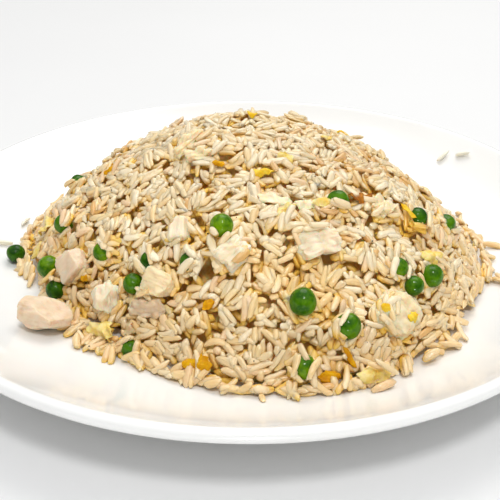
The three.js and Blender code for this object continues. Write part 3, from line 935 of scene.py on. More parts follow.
@dataclass
class RiceBed:
    """The face that grains settle on: cells that each hold how high the rice stands there.

    Attributes:
        heap: The heap's smooth form.
        cell: The width of a cell, measured down the slope.
        apron: How far the cells run out over the plate from the foot.
        core_depth: How far the core lies below the smooth form.
        plate_rise: How far the bed stands over the bare plate, as grains bed into it.
        clearance: How high over the smooth form a topping's underside leaves room for rice.
        reach_over: How much of a grain may reach over a hole in the rice.
        least_free: How much of it has to lie clear of the toppings.
        least_facing: How far a cell has to face a grain's way to carry it, from 0 to 1.
        bins: How many stretches a grain's underside is felt in.
        thin: How thick a grain is beside its width.
        slim: How its ends narrow, as the powers of its spindle.
        decimals: How finely heights are kept, so that every run lays the same rice.

    Each cell has its place on the smooth form (base), the way out of the heap there (normal), its
    distance down the slope (down), how high the rice stands over it (height), the number of the grain
    on top (owner), whether a topping fills it (taken) and whether it is kept as a hole (open). The foot
    lies at a distance of foot, and window is how many cells a grain may reach to each side.
    """

    heap: Heap
    cell: float = 0.75
    apron: float = 14.0
    core_depth: float = 8.0
    plate_rise: float = 1.05
    clearance: float = 0.8
    reach_over: float = 0.12
    least_free: float = 0.6
    least_facing: float = 0.2
    bins: int = 9
    thin: float = 0.85
    slim: tuple[float, float] = (2.6, 0.6)
    decimals: int = 4

    def __post_init__(self) -> None:
        """Lays the cells out over the heap and the plate round it."""
        out_steps, lengths = self.heap.slope()
        self.foot = lengths[-1]
        half = math.ceil((self.foot + self.apron) / self.cell)
        line = np.arange(-half, half + 1) * self.cell
        x, y = np.meshgrid(line, line, indexing="ij")
        self.down = np.hypot(x, y)
        turn = np.arctan2(y, x)
        base = self.heap.point(turn, np.interp(self.down, lengths, out_steps))
        beyond = np.maximum(0, self.down - self.foot)[..., None]
        base += beyond * np.stack([np.cos(turn), np.sin(turn), np.zeros_like(x)], -1)
        ground = self.heap.plate.top(np.hypot(base[..., 0], base[..., 1]))
        base[..., 2] = np.where(beyond[..., 0] > 0, ground, base[..., 2])
        normal = np.cross(np.gradient(base, axis=0), np.gradient(base, axis=1))
        self.base = base
        self.normal = unit(self.blurred(unit(normal)))
        above_plate = np.maximum(0, base[..., 2] - ground) / self.normal[..., 2]
        bare = above_plate < self.core_depth
        self.height = np.where(bare, self.plate_rise - above_plate, -self.core_depth)
        self.taken = np.zeros(x.shape, bool)
        self.open = np.zeros(x.shape, bool)
        self.owner = np.full(x.shape, -1)
        self.window = math.ceil(10.0 / self.cell)

    @staticmethod
    def blurred(cells: np.ndarray, rounds: int = 3) -> np.ndarray:
        """Cells that are each averaged with their neighbours a few times."""
        for _ in range(rounds):
            for axis in (0, 1):
                cells = (np.roll(cells, 1, axis) + 2 * cells + np.roll(cells, -1, axis)) / 4
        return cells

    def core(self, rings: int = 90, sides: int = 180) -> tuple[np.ndarray, np.ndarray]:
        """The core under the loose grains, closed on its underside.

        Args:
            rings: How many rings of points its top has.
            sides: How many points each ring has.

        Returns:
            Its points and triangles.
        """
        heap = self.heap
        turn = np.broadcast_to(np.arange(sides) * 2 * np.pi / sides, (rings, sides))
        share = np.linspace(0, 1, rings + 1)[1:, None]
        out = share * (1 - self.core_depth / heap.outline(turn))
        top = heap.point(turn, out)
        step = 0.004
        downhill = heap.point(turn, out + step) - heap.point(turn, np.maximum(out - step, 0))
        steepness = downhill[..., 2] / np.linalg.norm(downhill[..., :2], axis=-1)
        lumps = 0.5 * Waves(3.0, SEED + 1).at(top)
        top[..., 2] -= self.core_depth * np.sqrt(1 + steepness**2) + lumps
        floor = heap.plate.top(np.hypot(top[..., 0], top[..., 1])) + 0.1
        top[..., 2] = np.where(share < 1, np.maximum(top[..., 2], floor), floor)
        summit = heap.point(np.zeros(1), np.zeros(1))
        summit[0, 2] -= self.core_depth
        under = np.array([[0, 0, heap.plate.well_height + 0.1]])
        points = np.concatenate([summit, top.reshape(-1, 3), under])
        return points, ball_faces(rings + 1, sides)[:, ::-1]

    def directions(self, cell: tuple[int, int]) -> tuple[np.ndarray, np.ndarray, np.ndarray]:
        """The ways to the right, away from the diner and off the rice at a cell."""
        up = self.normal[cell]
        east = unit(np.cross(np.array([0.0, 1.0, 0.0]), up))
        return east, np.cross(up, east), up

    def rest(self, cell: tuple[int, int], heading: float, size: tuple[float, float],
             laying: Laying = POURED) -> Optional[Rest]:
        """Finds how a grain comes to lie if it is put down on a cell.

        Args:
            cell: The cell under its middle.
            heading: The way it points, as an angle.
            size: Its length and width.
            laying: How freely it is laid.

        Returns:
            How it rests, or nothing if it can't lie there.
        """
        i, j = cell
        rows = slice(i - self.window, i + self.window + 1)
        columns = slice(j - self.window, j + self.window + 1)
        east, north, up = self.directions(cell)
        along = math.cos(heading) * east + math.sin(heading) * north
        away = self.base[rows, columns] - self.base[i, j]
        s, t = away @ along, away @ np.cross(up, along)
        facing = self.normal[rows, columns] @ up
        half, radius = size[0] / 2, size[1] / 2
        under = (np.abs(t) < radius) & (np.abs(s) < half) & (facing > self.least_facing)
        free = ~self.taken[rows, columns][under] | laying.over
        if len(free) < self.bins or free.mean() < self.least_free:
            return None
        if self.open[rows, columns][under].mean() > self.reach_over:
            return None
        s, t, lift, facing = s[under], t[under], (away @ up)[under], facing[under]
        ends = np.maximum(0.03, 1 - np.abs(s / half) ** self.slim[0]) ** self.slim[1]
        bulge = np.sqrt(np.maximum(0, radius**2 - t**2)) * ends * self.thin
        needed = lift + self.height[rows, columns][under] * facing + bulge
        level, tilt = self._balance(s[free] / half, needed[free].round(self.decimals), half)
        if abs(tilt) > laying.steepest:
            return None
        level -= laying.sink * radius
        heights = ((level + tilt * s + bulge - lift) / facing).round(self.decimals)
        grain = Grain(
            self.base[i, j] + up * level,
            unit(along + tilt * up),
            unit(up - tilt * along),
            size[0],
            size[1],
            cell,
            heading,
        )
        below = np.nonzero(under)
        cells = (below[0][free] + rows.start, below[1][free] + columns.start)
        return Rest(grain, cells, heights[free], level)

    def _balance(self, share: np.ndarray, needed: np.ndarray, half: float) -> tuple[float, float]:
        """Lays a straight rod on the highest two points that hold it, one on each side of its middle.

        Args:
            share: How far along the rod each felt point is, from -1 to 1.
            needed: How high the rod's line has to pass over each.
            half: Half the rod's length.

        Returns:
            How high its middle lies, and its tilt.
        """
        place = np.clip(((share + 1) / 2 * self.bins).astype(int), 0, self.bins - 1)
        tops = np.full(self.bins, -99.0)
        np.maximum.at(tops, place, needed)
        at = ((np.arange(self.bins) + 0.5) / self.bins * 2 - 1) * half
        middle = self.bins // 2
        left, right = tops[: middle + 1], tops[middle:]
        span = at[middle:][None, :] - at[: middle + 1][:, None]
        span[-1, 0] = 1.0
        held = (left[:, None] * at[middle:][None, :] - right[None, :] * at[: middle + 1][:, None]) / span
        held[-1, 0] = tops[middle]
        low, high = np.unravel_index(np.argmax(held), held.shape)
        tilt = 0.0 if (low, high) == (middle, 0) else (right[high] - left[low]) / span[low, high]
        return held[low, high], tilt

    def cover(self, rest: Rest, number: int) -> None:
        """Raises the cells under a new grain to where it stands, and marks them as its own."""
        higher = rest.heights > self.height[rest.cells]
        self.height[rest.cells] = np.where(higher, rest.heights, self.height[rest.cells])
        self.owner[rest.cells] = np.where(higher, number, self.owner[rest.cells])

    def bury(self, nodes: Sequence[str]) -> None:
        """Sets toppings into the bed, so that grains lie against them and not through them.

        Args:
            nodes: The names of their solids.
        """
        for name in nodes:
            low, high = (np.array(corner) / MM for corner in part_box(name))
            middle, reach = (low + high) / 2, np.linalg.norm(high - low) / 2
            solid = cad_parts[name].data
            tree = BVHTree.FromPolygons(
                [vertex.co / MM for vertex in solid.vertices],
                [tuple(face.vertices) for face in solid.polygons],
            )
            near = np.linalg.norm(self.base - middle, axis=-1) < reach + BESIDE
            for i, j in zip(*np.nonzero(near)):
                up, base = Vector(self.normal[i, j]), Vector(self.base[i, j])
                hit = tree.ray_cast(base + FEELER_UP * up, -up, FEELER_UP + FEELER_DOWN)[0]
                underside = tree.ray_cast(base - FEELER_DOWN * up, up, FEELER_UP + FEELER_DOWN)[0]
                if hit is None or (underside - base).dot(up) > self.clearance:
                    continue
                top = (hit - base).dot(up)
                if top > self.height[i, j]:
                    self.height[i, j] = top
                    self.taken[i, j] = top > -0.5

    def hollow(self, holes: Sequence[tuple[float, float, float]]) -> None:
        """Keeps some places free of grains, so that holes are left between them.

        Args:
            holes: Each one's place on the table and half width.
        """
        for x, y, half in holes:
            self.open |= np.hypot(self.base[..., 0] - x, self.base[..., 1] - y) < half

    def seat(self, x: float, y: float, turn: float) -> Lie:
        """Where a loose bit lies on top of the rice, over a place on the table.

        Args:
            x: The place, to the right.
            y: The place, away from the diner.
            turn: Its heading, in degrees.

        Returns:
            How it lies, with a size of 1.
        """
        apart = np.hypot(self.base[..., 0] - x, self.base[..., 1] - y)
        i, j = np.unravel_index(np.argmin(apart), apart.shape)
        up = self.normal[i, j]
        high = np.percentile(self.height[i - 3 : i + 4, j - 3 : j + 4], 75)
        heading = np.array([math.cos(math.radians(turn)), math.sin(math.radians(turn)), 0.0])
        along = unit(heading - up * (heading @ up))
        return Lie(self.base[i, j] + up * high, np.array([along, np.cross(up, along), up]), np.ones(3))


@dataclass(frozen=True)
class GrainForm:
    """The shape of a cooked grain: a slim spindle with slanted, cut-off ends and flattened sides.

    Attributes:
        bands: How many bands of faces lie between its ends.
        sides: How many faces go round it.
        blunt: The least and the most that its sides stay parallel.
        pointed: The least and the most that its ends run to a point.
        taper: How much narrower one end may be.
        end_cuts: How many slanted faces each end has.
        end_lean: How far those lean from square, in degrees.
        end_share: Where they cut, as a part of the grain's reach their way.
        side_cuts: How many flats run along it.
        side_share: Where those cut, as a part of its reach their way.
        side_lean: How far those usually lean from its own direction.
        waist: How far its width waves along it.
        rough: How far its skin is uneven, in millimetres.
        bend: How far the middle of a grain of the usual length bows, in millimetres.
        bend_half: Half that length.
        roll: The most that it is turned about its own direction, in radians.
        flatness: The least and the most that it is as thick as it is wide.
    """

    bands: int = 10
    sides: int = 8
    blunt: tuple[float, float] = (2.0, 3.6)
    pointed: tuple[float, float] = (0.47, 0.74)
    taper: float = 0.22
    end_cuts: int = 2
    end_lean: tuple[float, float] = (15.0, 55.0)
    end_share: tuple[float, float] = (0.78, 0.96)
    side_cuts: int = 3
    side_share: tuple[float, float] = (0.60, 0.88)
    side_lean: float = 0.07
    waist: float = 0.05
    rough: float = 0.06
    bend: float = 0.2
    bend_half: float = 4.2
    roll: float = 0.5
    flatness: tuple[float, float] = (0.62, 0.86)

    @staticmethod
    def cut(own: np.ndarray, way: np.ndarray, share: np.ndarray) -> np.ndarray:
        """Cuts each grain by a plane of its own.

        Args:
            own: The points, a row for each grain.
            way: The way that each grain's plane faces.
            share: Where it cuts, as a part of the grain's reach that way.

        Returns:
            The points, with those past the plane brought back onto it.
        """
        reach = np.einsum("gpk,gk->gp", own, way)
        past = np.maximum(0, reach - share * reach.max(1, keepdims=True))
        return own - past[..., None] * way[:, None, :]

    def trimmed(self, own: np.ndarray, draw: np.random.Generator) -> np.ndarray:
        """Cuts the slanted faces at the ends and the flats along the sides.

        Args:
            own: The points, a row for each grain.
            draw: Where chance comes from.

        Returns:
            The trimmed points.
        """
        count = len(own)
        for side in (-1, 1):
            for _ in range(self.end_cuts):
                lean = np.radians(draw.uniform(*self.end_lean, count))
                round_it = draw.uniform(0, 2 * np.pi, count)
                off = np.sin(lean)
                way = np.stack([side * np.cos(lean), off * np.cos(round_it), off * np.sin(round_it)], -1)
                own = self.cut(own, way, draw.uniform(*self.end_share, (count, 1)))
        for _ in range(self.side_cuts):
            round_it = draw.uniform(0, 2 * np.pi, count)
            lean = draw.normal(0, self.side_lean, count)
            way = unit(np.stack([lean, np.cos(round_it), np.sin(round_it)], -1))
            own = self.cut(own, way, draw.uniform(*self.side_share, (count, 1)))
        return own

    def points(self, grains: Sequence[Grain], draw: np.random.Generator) -> tuple[np.ndarray, np.ndarray]:
        """The points of many grains.

        Args:
            grains: The grains.
            draw: Where chance comes from.

        Returns:
            Their places, a row for each grain, and the same points in each grain's own directions.
        """
        each = (len(grains), 1)
        latitude, longitude = ball_angles(self.bands, self.sides)
        half = np.array([grain.length / 2 for grain in grains])[:, None]
        wide = np.array([grain.across / 2 for grain in grains])[:, None]
        u = np.broadcast_to(np.sin(latitude), (len(grains), len(latitude)))
        body = np.maximum(0, 1 - np.abs(u) ** draw.uniform(*self.blunt, each))
        body = body ** draw.uniform(*self.pointed, each)
        body = body * (1 - draw.uniform(-self.taper, self.taper, each) * u)
        reach = wide * body * (1 + self.waist * np.sin(3 * u + draw.uniform(0, 2 * np.pi, each)))
        thick = draw.uniform(*self.flatness, each)
        own = np.stack([half * u, reach * np.cos(longitude), reach * np.sin(longitude) * thick], -1)
        own = self.trimmed(own, draw) + draw.normal(0, self.rough, own.shape)
        bends = draw.normal(0, self.bend, (len(grains), 2)) * (half / self.bend_half) ** 2
        own[..., 1:] += bends[:, None] * (1 - 2 * u**2)[..., None]
        roll = draw.uniform(-self.roll, self.roll, each)
        along = np.array([grain.along for grain in grains])
        up = np.array([grain.up for grain in grains])
        aside = np.cross(up, along)
        axes = np.stack(
            [along, aside * np.cos(roll) + up * np.sin(roll), up * np.cos(roll) - aside * np.sin(roll)], 1
        )
        middle = np.array([grain.middle for grain in grains])[:, None]
        return middle + own @ axes, own


@dataclass(frozen=True)
class Cover:
    """Grains that lie against one side of a topping and hide some of it.

    Attributes:
        node: The topping's solid.
        side: The side, in degrees: 0 is to the right, 90 away from the diner.
        grains: How many grains there are.
        out: How far out they lie, as a part of the topping's half width.
        rise: How high up the first one lies, in the same measure.
    """

    node: str
    side: float
    grains: int = 1
    out: float = 0.85
    rise: float = 0.2


@dataclass
class RiceGrains:
    """The loose grains of the heap.

    Attributes:
        bed: What they settle on.
        form: The shape of a grain.
        pours: How many places are tried while the rice is poured.
        fills: How many are tried while its dips are filled.
        fill_shares: How long the grains tried there are, as parts of the usual length, in turn.
        headings: How many headings are tried at each, at most.
        length: The usual length of a grain, and how much it varies.
        across: Its usual width, and how much that varies.
        lengths: The least and the greatest length.
        widths: The least and the greatest width.
        broken: The share of grains that are broken.
        broken_to: How much of a broken grain's length is left.
        top: How high a grain's middle may lie above the smooth form.
        lumpiness: How far clumps and dips change that.
        clumps: The pitch and the strength of the two sizes of clumps.
        ragged: How far the foot's edge wanders.
        foot_band: How wide the band of rice near the foot is.
        foot_top: How high a grain's middle may lie above the smooth form there.
        banked: How much higher the rice stands right round a topping.
        spills: Where rice spills over the plate: heading, half width in degrees, and reach.
        spill_top: How high a spilt grain's middle may lie.
        laps: How many places are tried for grains over the edges of toppings.
        drops: How many are tried for loose grains on the plate.
        upright: How many grains stand up out of the heap.
        sauced: Where sauce soaked the rice: place on the table, reach and strength.
        grains: The grains that settled on the bed.
        standing: Those that stand up out of it or lean on a topping.
    """

    bed: RiceBed
    form: GrainForm = field(default_factory=GrainForm)
    pours: int = 17000
    fills: int = 11000
    fill_shares: tuple[float, ...] = (0.95, 0.7, 0.45)
    headings: int = 4
    length: tuple[float, float] = (9.2, 1.1)
    across: tuple[float, float] = (2.75, 0.28)
    lengths: tuple[float, float] = (3.6, 11.8)
    widths: tuple[float, float] = (2.1, 3.5)
    broken: float = 0.12
    broken_to: tuple[float, float] = (0.45, 0.75)
    top: float = -1.1
    lumpiness: float = 1.3
    clumps: tuple[tuple[float, float], ...] = ((26.0, 0.6), (11.0, 0.5))
    ragged: float = 1.6
    foot_band: float = 16.0
    foot_top: float = -0.4
    banked: float = 1.3
    spills: tuple[tuple[float, float, float], ...] = (
        (-131, 13, 8.0),
        (-174, 7, 5.0),
        (-162, 5, -3.0),
        (-27.5, 12, -5.0),
        (-6, 9, 0.5),
    )
    spill_top: float = 2.2
    laps: int = 230
    drops: int = 90
    upright: int = 36
    sauced: tuple[tuple[float, float, float, float], ...] = (
        (14.9, -67.3, 11.0, 0.8),
        (3.0, -65.0, 5.0, 0.6),
        (24.7, -73.9, 5.0, 0.9),
        (61.0, -37.8, 9.0, 0.5),
        (-14.9, -76.5, 8.0, 0.4),
        (-34.0, -70.5, 9.0, 0.4),
        (-55.1, 4.4, 8.0, 0.5),
        (20.0, 50.0, 12.0, 0.5),
        (-42.0, 44.0, 9.0, 0.4),
    )
    grains: list[Grain] = field(default_factory=list)
    standing: list[Grain] = field(default_factory=list)

    def size(self, draw: np.random.Generator) -> tuple[float, float]:
        """The length and width of the next grain."""
        length = draw.normal(*self.length)
        if draw.random() < self.broken:
            length *= draw.uniform(*self.broken_to)
        across = draw.normal(*self.across)
        return float(np.clip(length, *self.lengths)), float(np.clip(across, *self.widths))

    def ceiling(self) -> np.ndarray:
        """How high a grain's middle may lie over each cell of the bed."""
        bed = self.bed
        lumps = sum(
            strength * Waves(pitch, SEED + 2 + number).at(bed.base)
            for number, (pitch, strength) in enumerate(self.clumps)
        )
        lowness = np.clip((bed.down - bed.foot) / self.foot_band + 1, 0, 1)
        face = self.top + self.lumpiness * lumps
        foot_lumps, bank_rounds, bank_gain = 0.4, 30, 3
        ceiling = face + lowness * (self.foot_top + foot_lumps * lumps - face)
        ceiling += self.banked * np.minimum(1, bank_gain * bed.blurred(bed.taken.astype(float), bank_rounds))
        edge_back, edge_pitch = 0.8, 9.0
        edge = bed.foot - edge_back + self.ragged * Waves(edge_pitch, SEED + 4).at(bed.base)
        around = np.arctan2(bed.base[..., 1], bed.base[..., 0])
        for at, width, reach in self.spills:
            apart = (around - math.radians(at) + np.pi) % (2 * np.pi) - np.pi
            edge += reach * np.exp(-((apart / math.radians(width)) ** 2))
        spill_from = 2
        ceiling = np.where(bed.down > bed.foot - spill_from, self.spill_top, ceiling)
        return np.where(bed.down < edge, ceiling, BARE)

    def _lay(self, rest: Rest) -> None:
        """Adds a grain as it rests."""
        self.bed.cover(rest, len(self.grains))
        self.grains.append(rest.grain)

    def _ways(self, cell: tuple[int, int], count: int, draw: np.random.Generator) -> np.ndarray:
        """Headings to try at a cell: some at random, and some close to that of the grain below.

        Args:
            cell: The cell.
            count: How many.
            draw: Where chance comes from.

        Returns:
            The headings.
        """
        ways = draw.uniform(0, np.pi, count)
        below = self.bed.owner[cell]
        if below >= 0:
            alike = count // 2
            ways[:alike] = self.grains[below].heading + draw.normal(0, 0.2, alike)
        return ways

    def _lowest(self, cell: tuple[int, int], ways: np.ndarray, size: tuple[float, float],
                laying: Laying) -> Optional[Rest]:
        """How a grain nests deepest on a cell, of a few headings; nothing if it can't lie there."""
        rests = [rest for way in ways if (rest := self.bed.rest(cell, way, size, laying)) is not None]
        return min(rests, key=lambda rest: rest.level) if rests else None

    def pour(self) -> None:
        """Lays the grains one by one, the low places first, each the way it nests deepest."""
        draw = np.random.default_rng(SEED)
        bed, ceiling = self.bed, self.ceiling()
        spots = np.argwhere(ceiling > BARE)
        picked = 4
        for _ in range(self.pours):
            picks = spots[draw.integers(len(spots), size=picked)]
            room = bed.height[picks[:, 0], picks[:, 1]] - ceiling[picks[:, 0], picks[:, 1]]
            cell = tuple(picks[int(np.argmin(room))])
            size = self.size(draw)
            ways = self._ways(cell, draw.integers(2, self.headings + 1), draw)
            lowest = self._lowest(cell, ways, size, POURED)
            if lowest is not None and lowest.level < ceiling[cell]:
                self._lay(lowest)
        log.info("%d grains poured", len(self.grains))

    def fill(self) -> None:
        """Presses more grains, mostly short ones, into the deepest dips that are left."""
        draw = np.random.default_rng(SEED + 12)
        bed, ceiling = self.bed, self.ceiling()
        spots = np.argwhere((ceiling > BARE) & ~bed.taken)
        spent = np.zeros(bed.height.shape)
        picked, shortest, above = 40, 3.2, 0.3
        pull_of_core, cost_of_a_try = 2.0, 0.6
        for _ in range(self.fills):
            picks = spots[draw.integers(len(spots), size=picked)]
            rows, columns = picks.T
            room = bed.height[rows, columns] - ceiling[rows, columns] + spent[rows, columns]
            room -= pull_of_core * (bed.owner[rows, columns] < 0)
            i, j = cell = tuple(picks[int(np.argmin(room))])
            spent[i - 1 : i + 2, j - 1 : j + 2] += cost_of_a_try
            length, across = self.size(draw)
            for share in self.fill_shares:
                size = (max(shortest, length * share), across)
                lowest = self._lowest(cell, self._ways(cell, self.headings, draw), size, PRESSED)
                if lowest is not None and lowest.level < ceiling[cell] + above:
                    self._lay(lowest)
                    break
        log.info("%d grains with the dips filled", len(self.grains))

    def lap(self) -> None:
        """Lays a few grains over the edges of the toppings."""
        draw = np.random.default_rng(SEED + 8)
        bed = self.bed
        share = bed.blurred(bed.taken.astype(float))
        outside, inside, above = 0.04, 0.5, 0.9
        spots = np.argwhere((share > outside) & (share < inside) & (bed.down < bed.foot))
        start = bed.height.copy()
        for _ in range(self.laps):
            cell = tuple(spots[draw.integers(len(spots))])
            rest = bed.rest(cell, draw.uniform(0, np.pi), self.size(draw), LAPPED)
            if rest is not None and rest.level < start[cell] + above:
                self._lay(rest)

    def cover(self, covers: Sequence[Cover]) -> None:
        """Lays grains against given sides of some toppings, each higher up than the last.

        Args:
            covers: Which toppings, sides and how many grains.
        """
        draw = np.random.default_rng(SEED + 13)
        bed = self.bed
        astray, step, unevenness, sway, outward = 0.2, 0.35, 0.1, 0.25, 0.6
        for cover in covers:
            lie = Lie.of(cover.node)
            half = lie.size[:2].mean() / 2
            cell = self.cell_at(lie.middle)
            east, north, up = bed.directions(cell)
            for number in range(cover.grains):
                side = math.radians(cover.side) + draw.normal(0, astray)
                way = math.cos(side) * east + math.sin(side) * north
                length, across = self.size(draw)
                rise = (cover.rise + step * number + draw.uniform(-unevenness, unevenness)) * half
                middle = lie.middle + way * (cover.out * half + across / 4) + up * rise
                along = unit(np.cross(up, way) + draw.normal(0, sway) * way + draw.normal(0, sway) * up)
                facing = up + outward * way
                upward = unit(facing - along * (along @ facing))
                self.standing.append(Grain(middle, along, upward, length, across, cell))

    def cell_at(self, place: np.ndarray) -> tuple[int, int]:
        """The cell of the bed that is nearest to a place."""
        apart = np.linalg.norm(self.bed.base - place, axis=-1)
        return tuple(np.unravel_index(np.argmin(apart), apart.shape))

    def scatter(self) -> None:
        """Drops loose grains on the plate round the foot."""
        draw = np.random.default_rng(SEED + 9)
        bed = self.bed
        nearest, farthest, fade, highest = 0.5, 9, 2.5, 3.0
        spots = np.argwhere((bed.down > bed.foot + nearest) & (bed.down < bed.foot + farthest))
        for _ in range(self.drops):
            cell = tuple(spots[draw.integers(len(spots))])
            if draw.random() > math.exp(-(bed.down[cell] - bed.foot) / fade):
                continue
            rest = bed.rest(cell, draw.uniform(0, np.pi), self.size(draw))
            if rest is not None and rest.level < highest:
                self._lay(rest)

    def strew(self) -> None:
        """Adds grains that stand up out of the heap, one end in it."""
        draw = np.random.default_rng(SEED + 5)
        bed = self.bed
        margin, lowest_rise, highest_rise, sunk = 3, 0.12, 0.5, 2.3
        spots = np.argwhere(~bed.taken & (bed.down < bed.foot - margin))
        for _ in range(self.upright):
            i, j = cell = tuple(spots[draw.integers(len(spots))])
            east, north, up = bed.directions(cell)
            heading = draw.uniform(0, 2 * np.pi)
            flat = math.cos(heading) * east + math.sin(heading) * north
            rise = draw.uniform(lowest_rise, highest_rise)
            along = flat * math.cos(rise) + up * math.sin(rise)
            length, across = self.size(draw)
            middle = bed.base[i, j] + up * (bed.height[i, j] - sunk) + along * length / 2
            upward = unit(up - along * (along @ up))
            self.standing.append(Grain(middle, along, upward, length, across, (i, j)))

    def shown(self, fewest: int = 2) -> list[Grain]:
        """The grains that show at least a little, by the cells that they still own."""
        owners = self.bed.owner[self.bed.owner >= 0]
        owned = np.bincount(owners, minlength=len(self.grains))
        return [grain for grain, cells in zip(self.grains, owned) if cells >= fewest] + self.standing

    def depth(self, grains: Sequence[Grain], points: np.ndarray) -> np.ndarray:
        """How far points of grains lie below the top of the rice round them.

        Args:
            grains: The grains.
            points: Their points, a row for each grain.

        Returns:
            The depth of each point, in millimetres; 0 off the heap.
        """
        tops = self.bed.blurred(self.bed.height, 6)
        depths = np.zeros(points.shape[:2])
        for row, grain in enumerate(grains):
            if grain.cell is not None:
                above = (points[row] - self.bed.base[grain.cell]) @ self.bed.normal[grain.cell]
                depths[row] = tops[grain.cell] - above
        return depths

    def soaked(self, points: np.ndarray) -> np.ndarray:
        """How much sauce has soaked the rice at some points, from 0 to 1."""
        sauce = np.zeros(points.shape[:-1])
        for x, y, reach, strength in self.sauced:
            apart = np.hypot(points[..., 0] - x, points[..., 1] - y)
            sauce += strength * np.exp(-((apart / reach) ** 2))
        return np.minimum(sauce, 1)

    def kind(self, chance: float, sauce: float) -> Kind:
        """The kind of a grain: more are tan or browned where the sauce is thick."""
        chance -= 0.07 * sauce
        for kind, share in KIND_SHARES:
            if chance < share:
                return kind
        return Kind.WHITE

    def build(self, finishes: dict[Kind, "Rice"]) -> list[bpy.types.Object]:
        """Makes the grains, one piece for each kind.

        Args:
            finishes: What each kind is dressed in.

        Returns:
            The pieces.
        """
        draw = np.random.default_rng(SEED + 6)
        shown = self.shown()
        log.info("%d grains shown", len(shown))
        sauce = Waves(34.0, SEED + 7).at(np.array([grain.middle for grain in shown]))
        sorted_grains: dict[Kind, list[Grain]] = {kind: [] for kind in Kind}
        for grain, thick in zip(shown, sauce):
            sorted_grains[self.kind(draw.random(), thick)].append(grain)
        pieces = []
        for kind, grains in sorted_grains.items():
            piece = self.piece(kind.value, grains, finishes[kind].make(), draw)
            pieces.append(settle(piece, "rice", "rice_heap"))
        return pieces

    def piece(self, name: str, grains: Sequence[Grain], finish: bpy.types.Material,
              draw: np.random.Generator) -> bpy.types.Object:
        """Makes one mesh of many grains.

        Args:
            name: The piece's name.
            grains: The grains.
            finish: Their material.
            draw: Where chance comes from.

        Returns:
            The piece.
        """
        points, own = self.form.points(grains, draw)
        count, each = points.shape[:2]
        triangles = repeated(ball_faces(self.form.bands, self.form.sides), each, count)
        end = np.abs(own[..., 0]) / own[..., 0].max(1, keepdims=True)
        shade = np.broadcast_to(draw.beta(1.5, 1.9, (count, 1)), end.shape)
        soak = np.broadcast_to(draw.beta(1.0, 2.4, (count, 1)), end.shape)
        # The fourth number, how deep a point lies, sets how much painted crevice shade and sauce colour it
        # takes.
        tones = np.stack([shade, end, soak, self.depth(grains, points)], -1)
        apart = draw.uniform(-900, 900, (count, 1, 3))
        skin = np.concatenate([(own + apart) * MM, self.soaked(points)[..., None]], -1)
        colours = {"grain": tones.reshape(-1, 4), "skin": skin.reshape(-1, 4)}
        return mesh_piece(name, points.reshape(-1, 3), triangles, finish, colours)


# Toppings


class Tone(Enum):
    """The finishes of the toppings and of the small bits."""

    BRIGHT_PEA = "bright_pea"
    MID_PEA = "mid_pea"
    DEEP_PEA = "deep_pea"
    WHITE_MEAT = "white_meat"
    PINK_MEAT = "pink_meat"
    CREAM_MEAT = "cream_meat"
    TAN_MEAT = "tan_meat"
    GOLDEN_EGG = "golden_egg"
    YELLOW_EGG = "yellow_egg"
    PALE_EGG = "pale_egg"
    BROWNED = "browned"
    CLEAR = "clear"
    FLAKE = "flake"
    PEPPER = "pepper"


@dataclass(frozen=True)
class Pea:
    """A cooked pea: almost round, with a few shallow dents and a crease or two in its skin."""

    bands: int = 28
    sides: int = 40
    uneven: float = 0.012
    least_half: float = 0.47
    dents: int = 5
    dent_depth: float = 0.12
    dent_width: float = 0.40
    creases: int = 2
    crease_depth: float = 0.045
    crease_width: float = 0.07
    crease_reach: float = 0.55
    crease_wander: float = 0.06

    def build(self, node: str, seed: int, finish: bpy.types.Material) -> bpy.types.Object:
        """Makes the pea that stands for a solid.

        Args:
            node: The solid's name.
            seed: What its dents are drawn from.
            finish: Its skin.

        Returns:
            The pea.
        """
        draw = np.random.default_rng(SEED + seed)
        ball = ball_points(self.bands, self.sides)
        reach = np.ones(len(ball)) + self.uneven * Waves(1.3, SEED + seed).at(ball)
        for way in unit(draw.normal(size=(self.dents, 3))):
            apart = np.linalg.norm(ball - way, axis=1)
            depth = self.dent_depth * draw.uniform(0.1, 1.0) ** 2
            reach -= depth * np.exp(-((apart / (self.dent_width * draw.uniform(0.6, 1.3))) ** 2))
        for _ in range(self.creases):
            across, at = unit(draw.normal(size=(2, 3)))
            wander = self.crease_wander * Waves(0.9, SEED + seed).at(ball)
            apart = (ball - at) @ unit(across - at * (across @ at)) + wander
            near = np.exp(-((np.linalg.norm(ball - at, axis=1) / self.crease_reach) ** 4))
            reach -= self.crease_depth * near * np.exp(-((apart / self.crease_width) ** 2))
        lie = Lie.of(node)
        half = np.maximum(lie.size / 2, self.least_half * lie.size.max())
        points = lie.out(ball * reach[:, None] * half)
        piece = mesh_piece("green_" + node, points, ball_faces(self.bands, self.sides), finish)
        return settle(piece, "pea", node)


class Cut(Enum):
    """How a piece of chicken was cut or torn."""

    CRISP = "crisp"
    ROUND = "round"
    TORN = "torn"


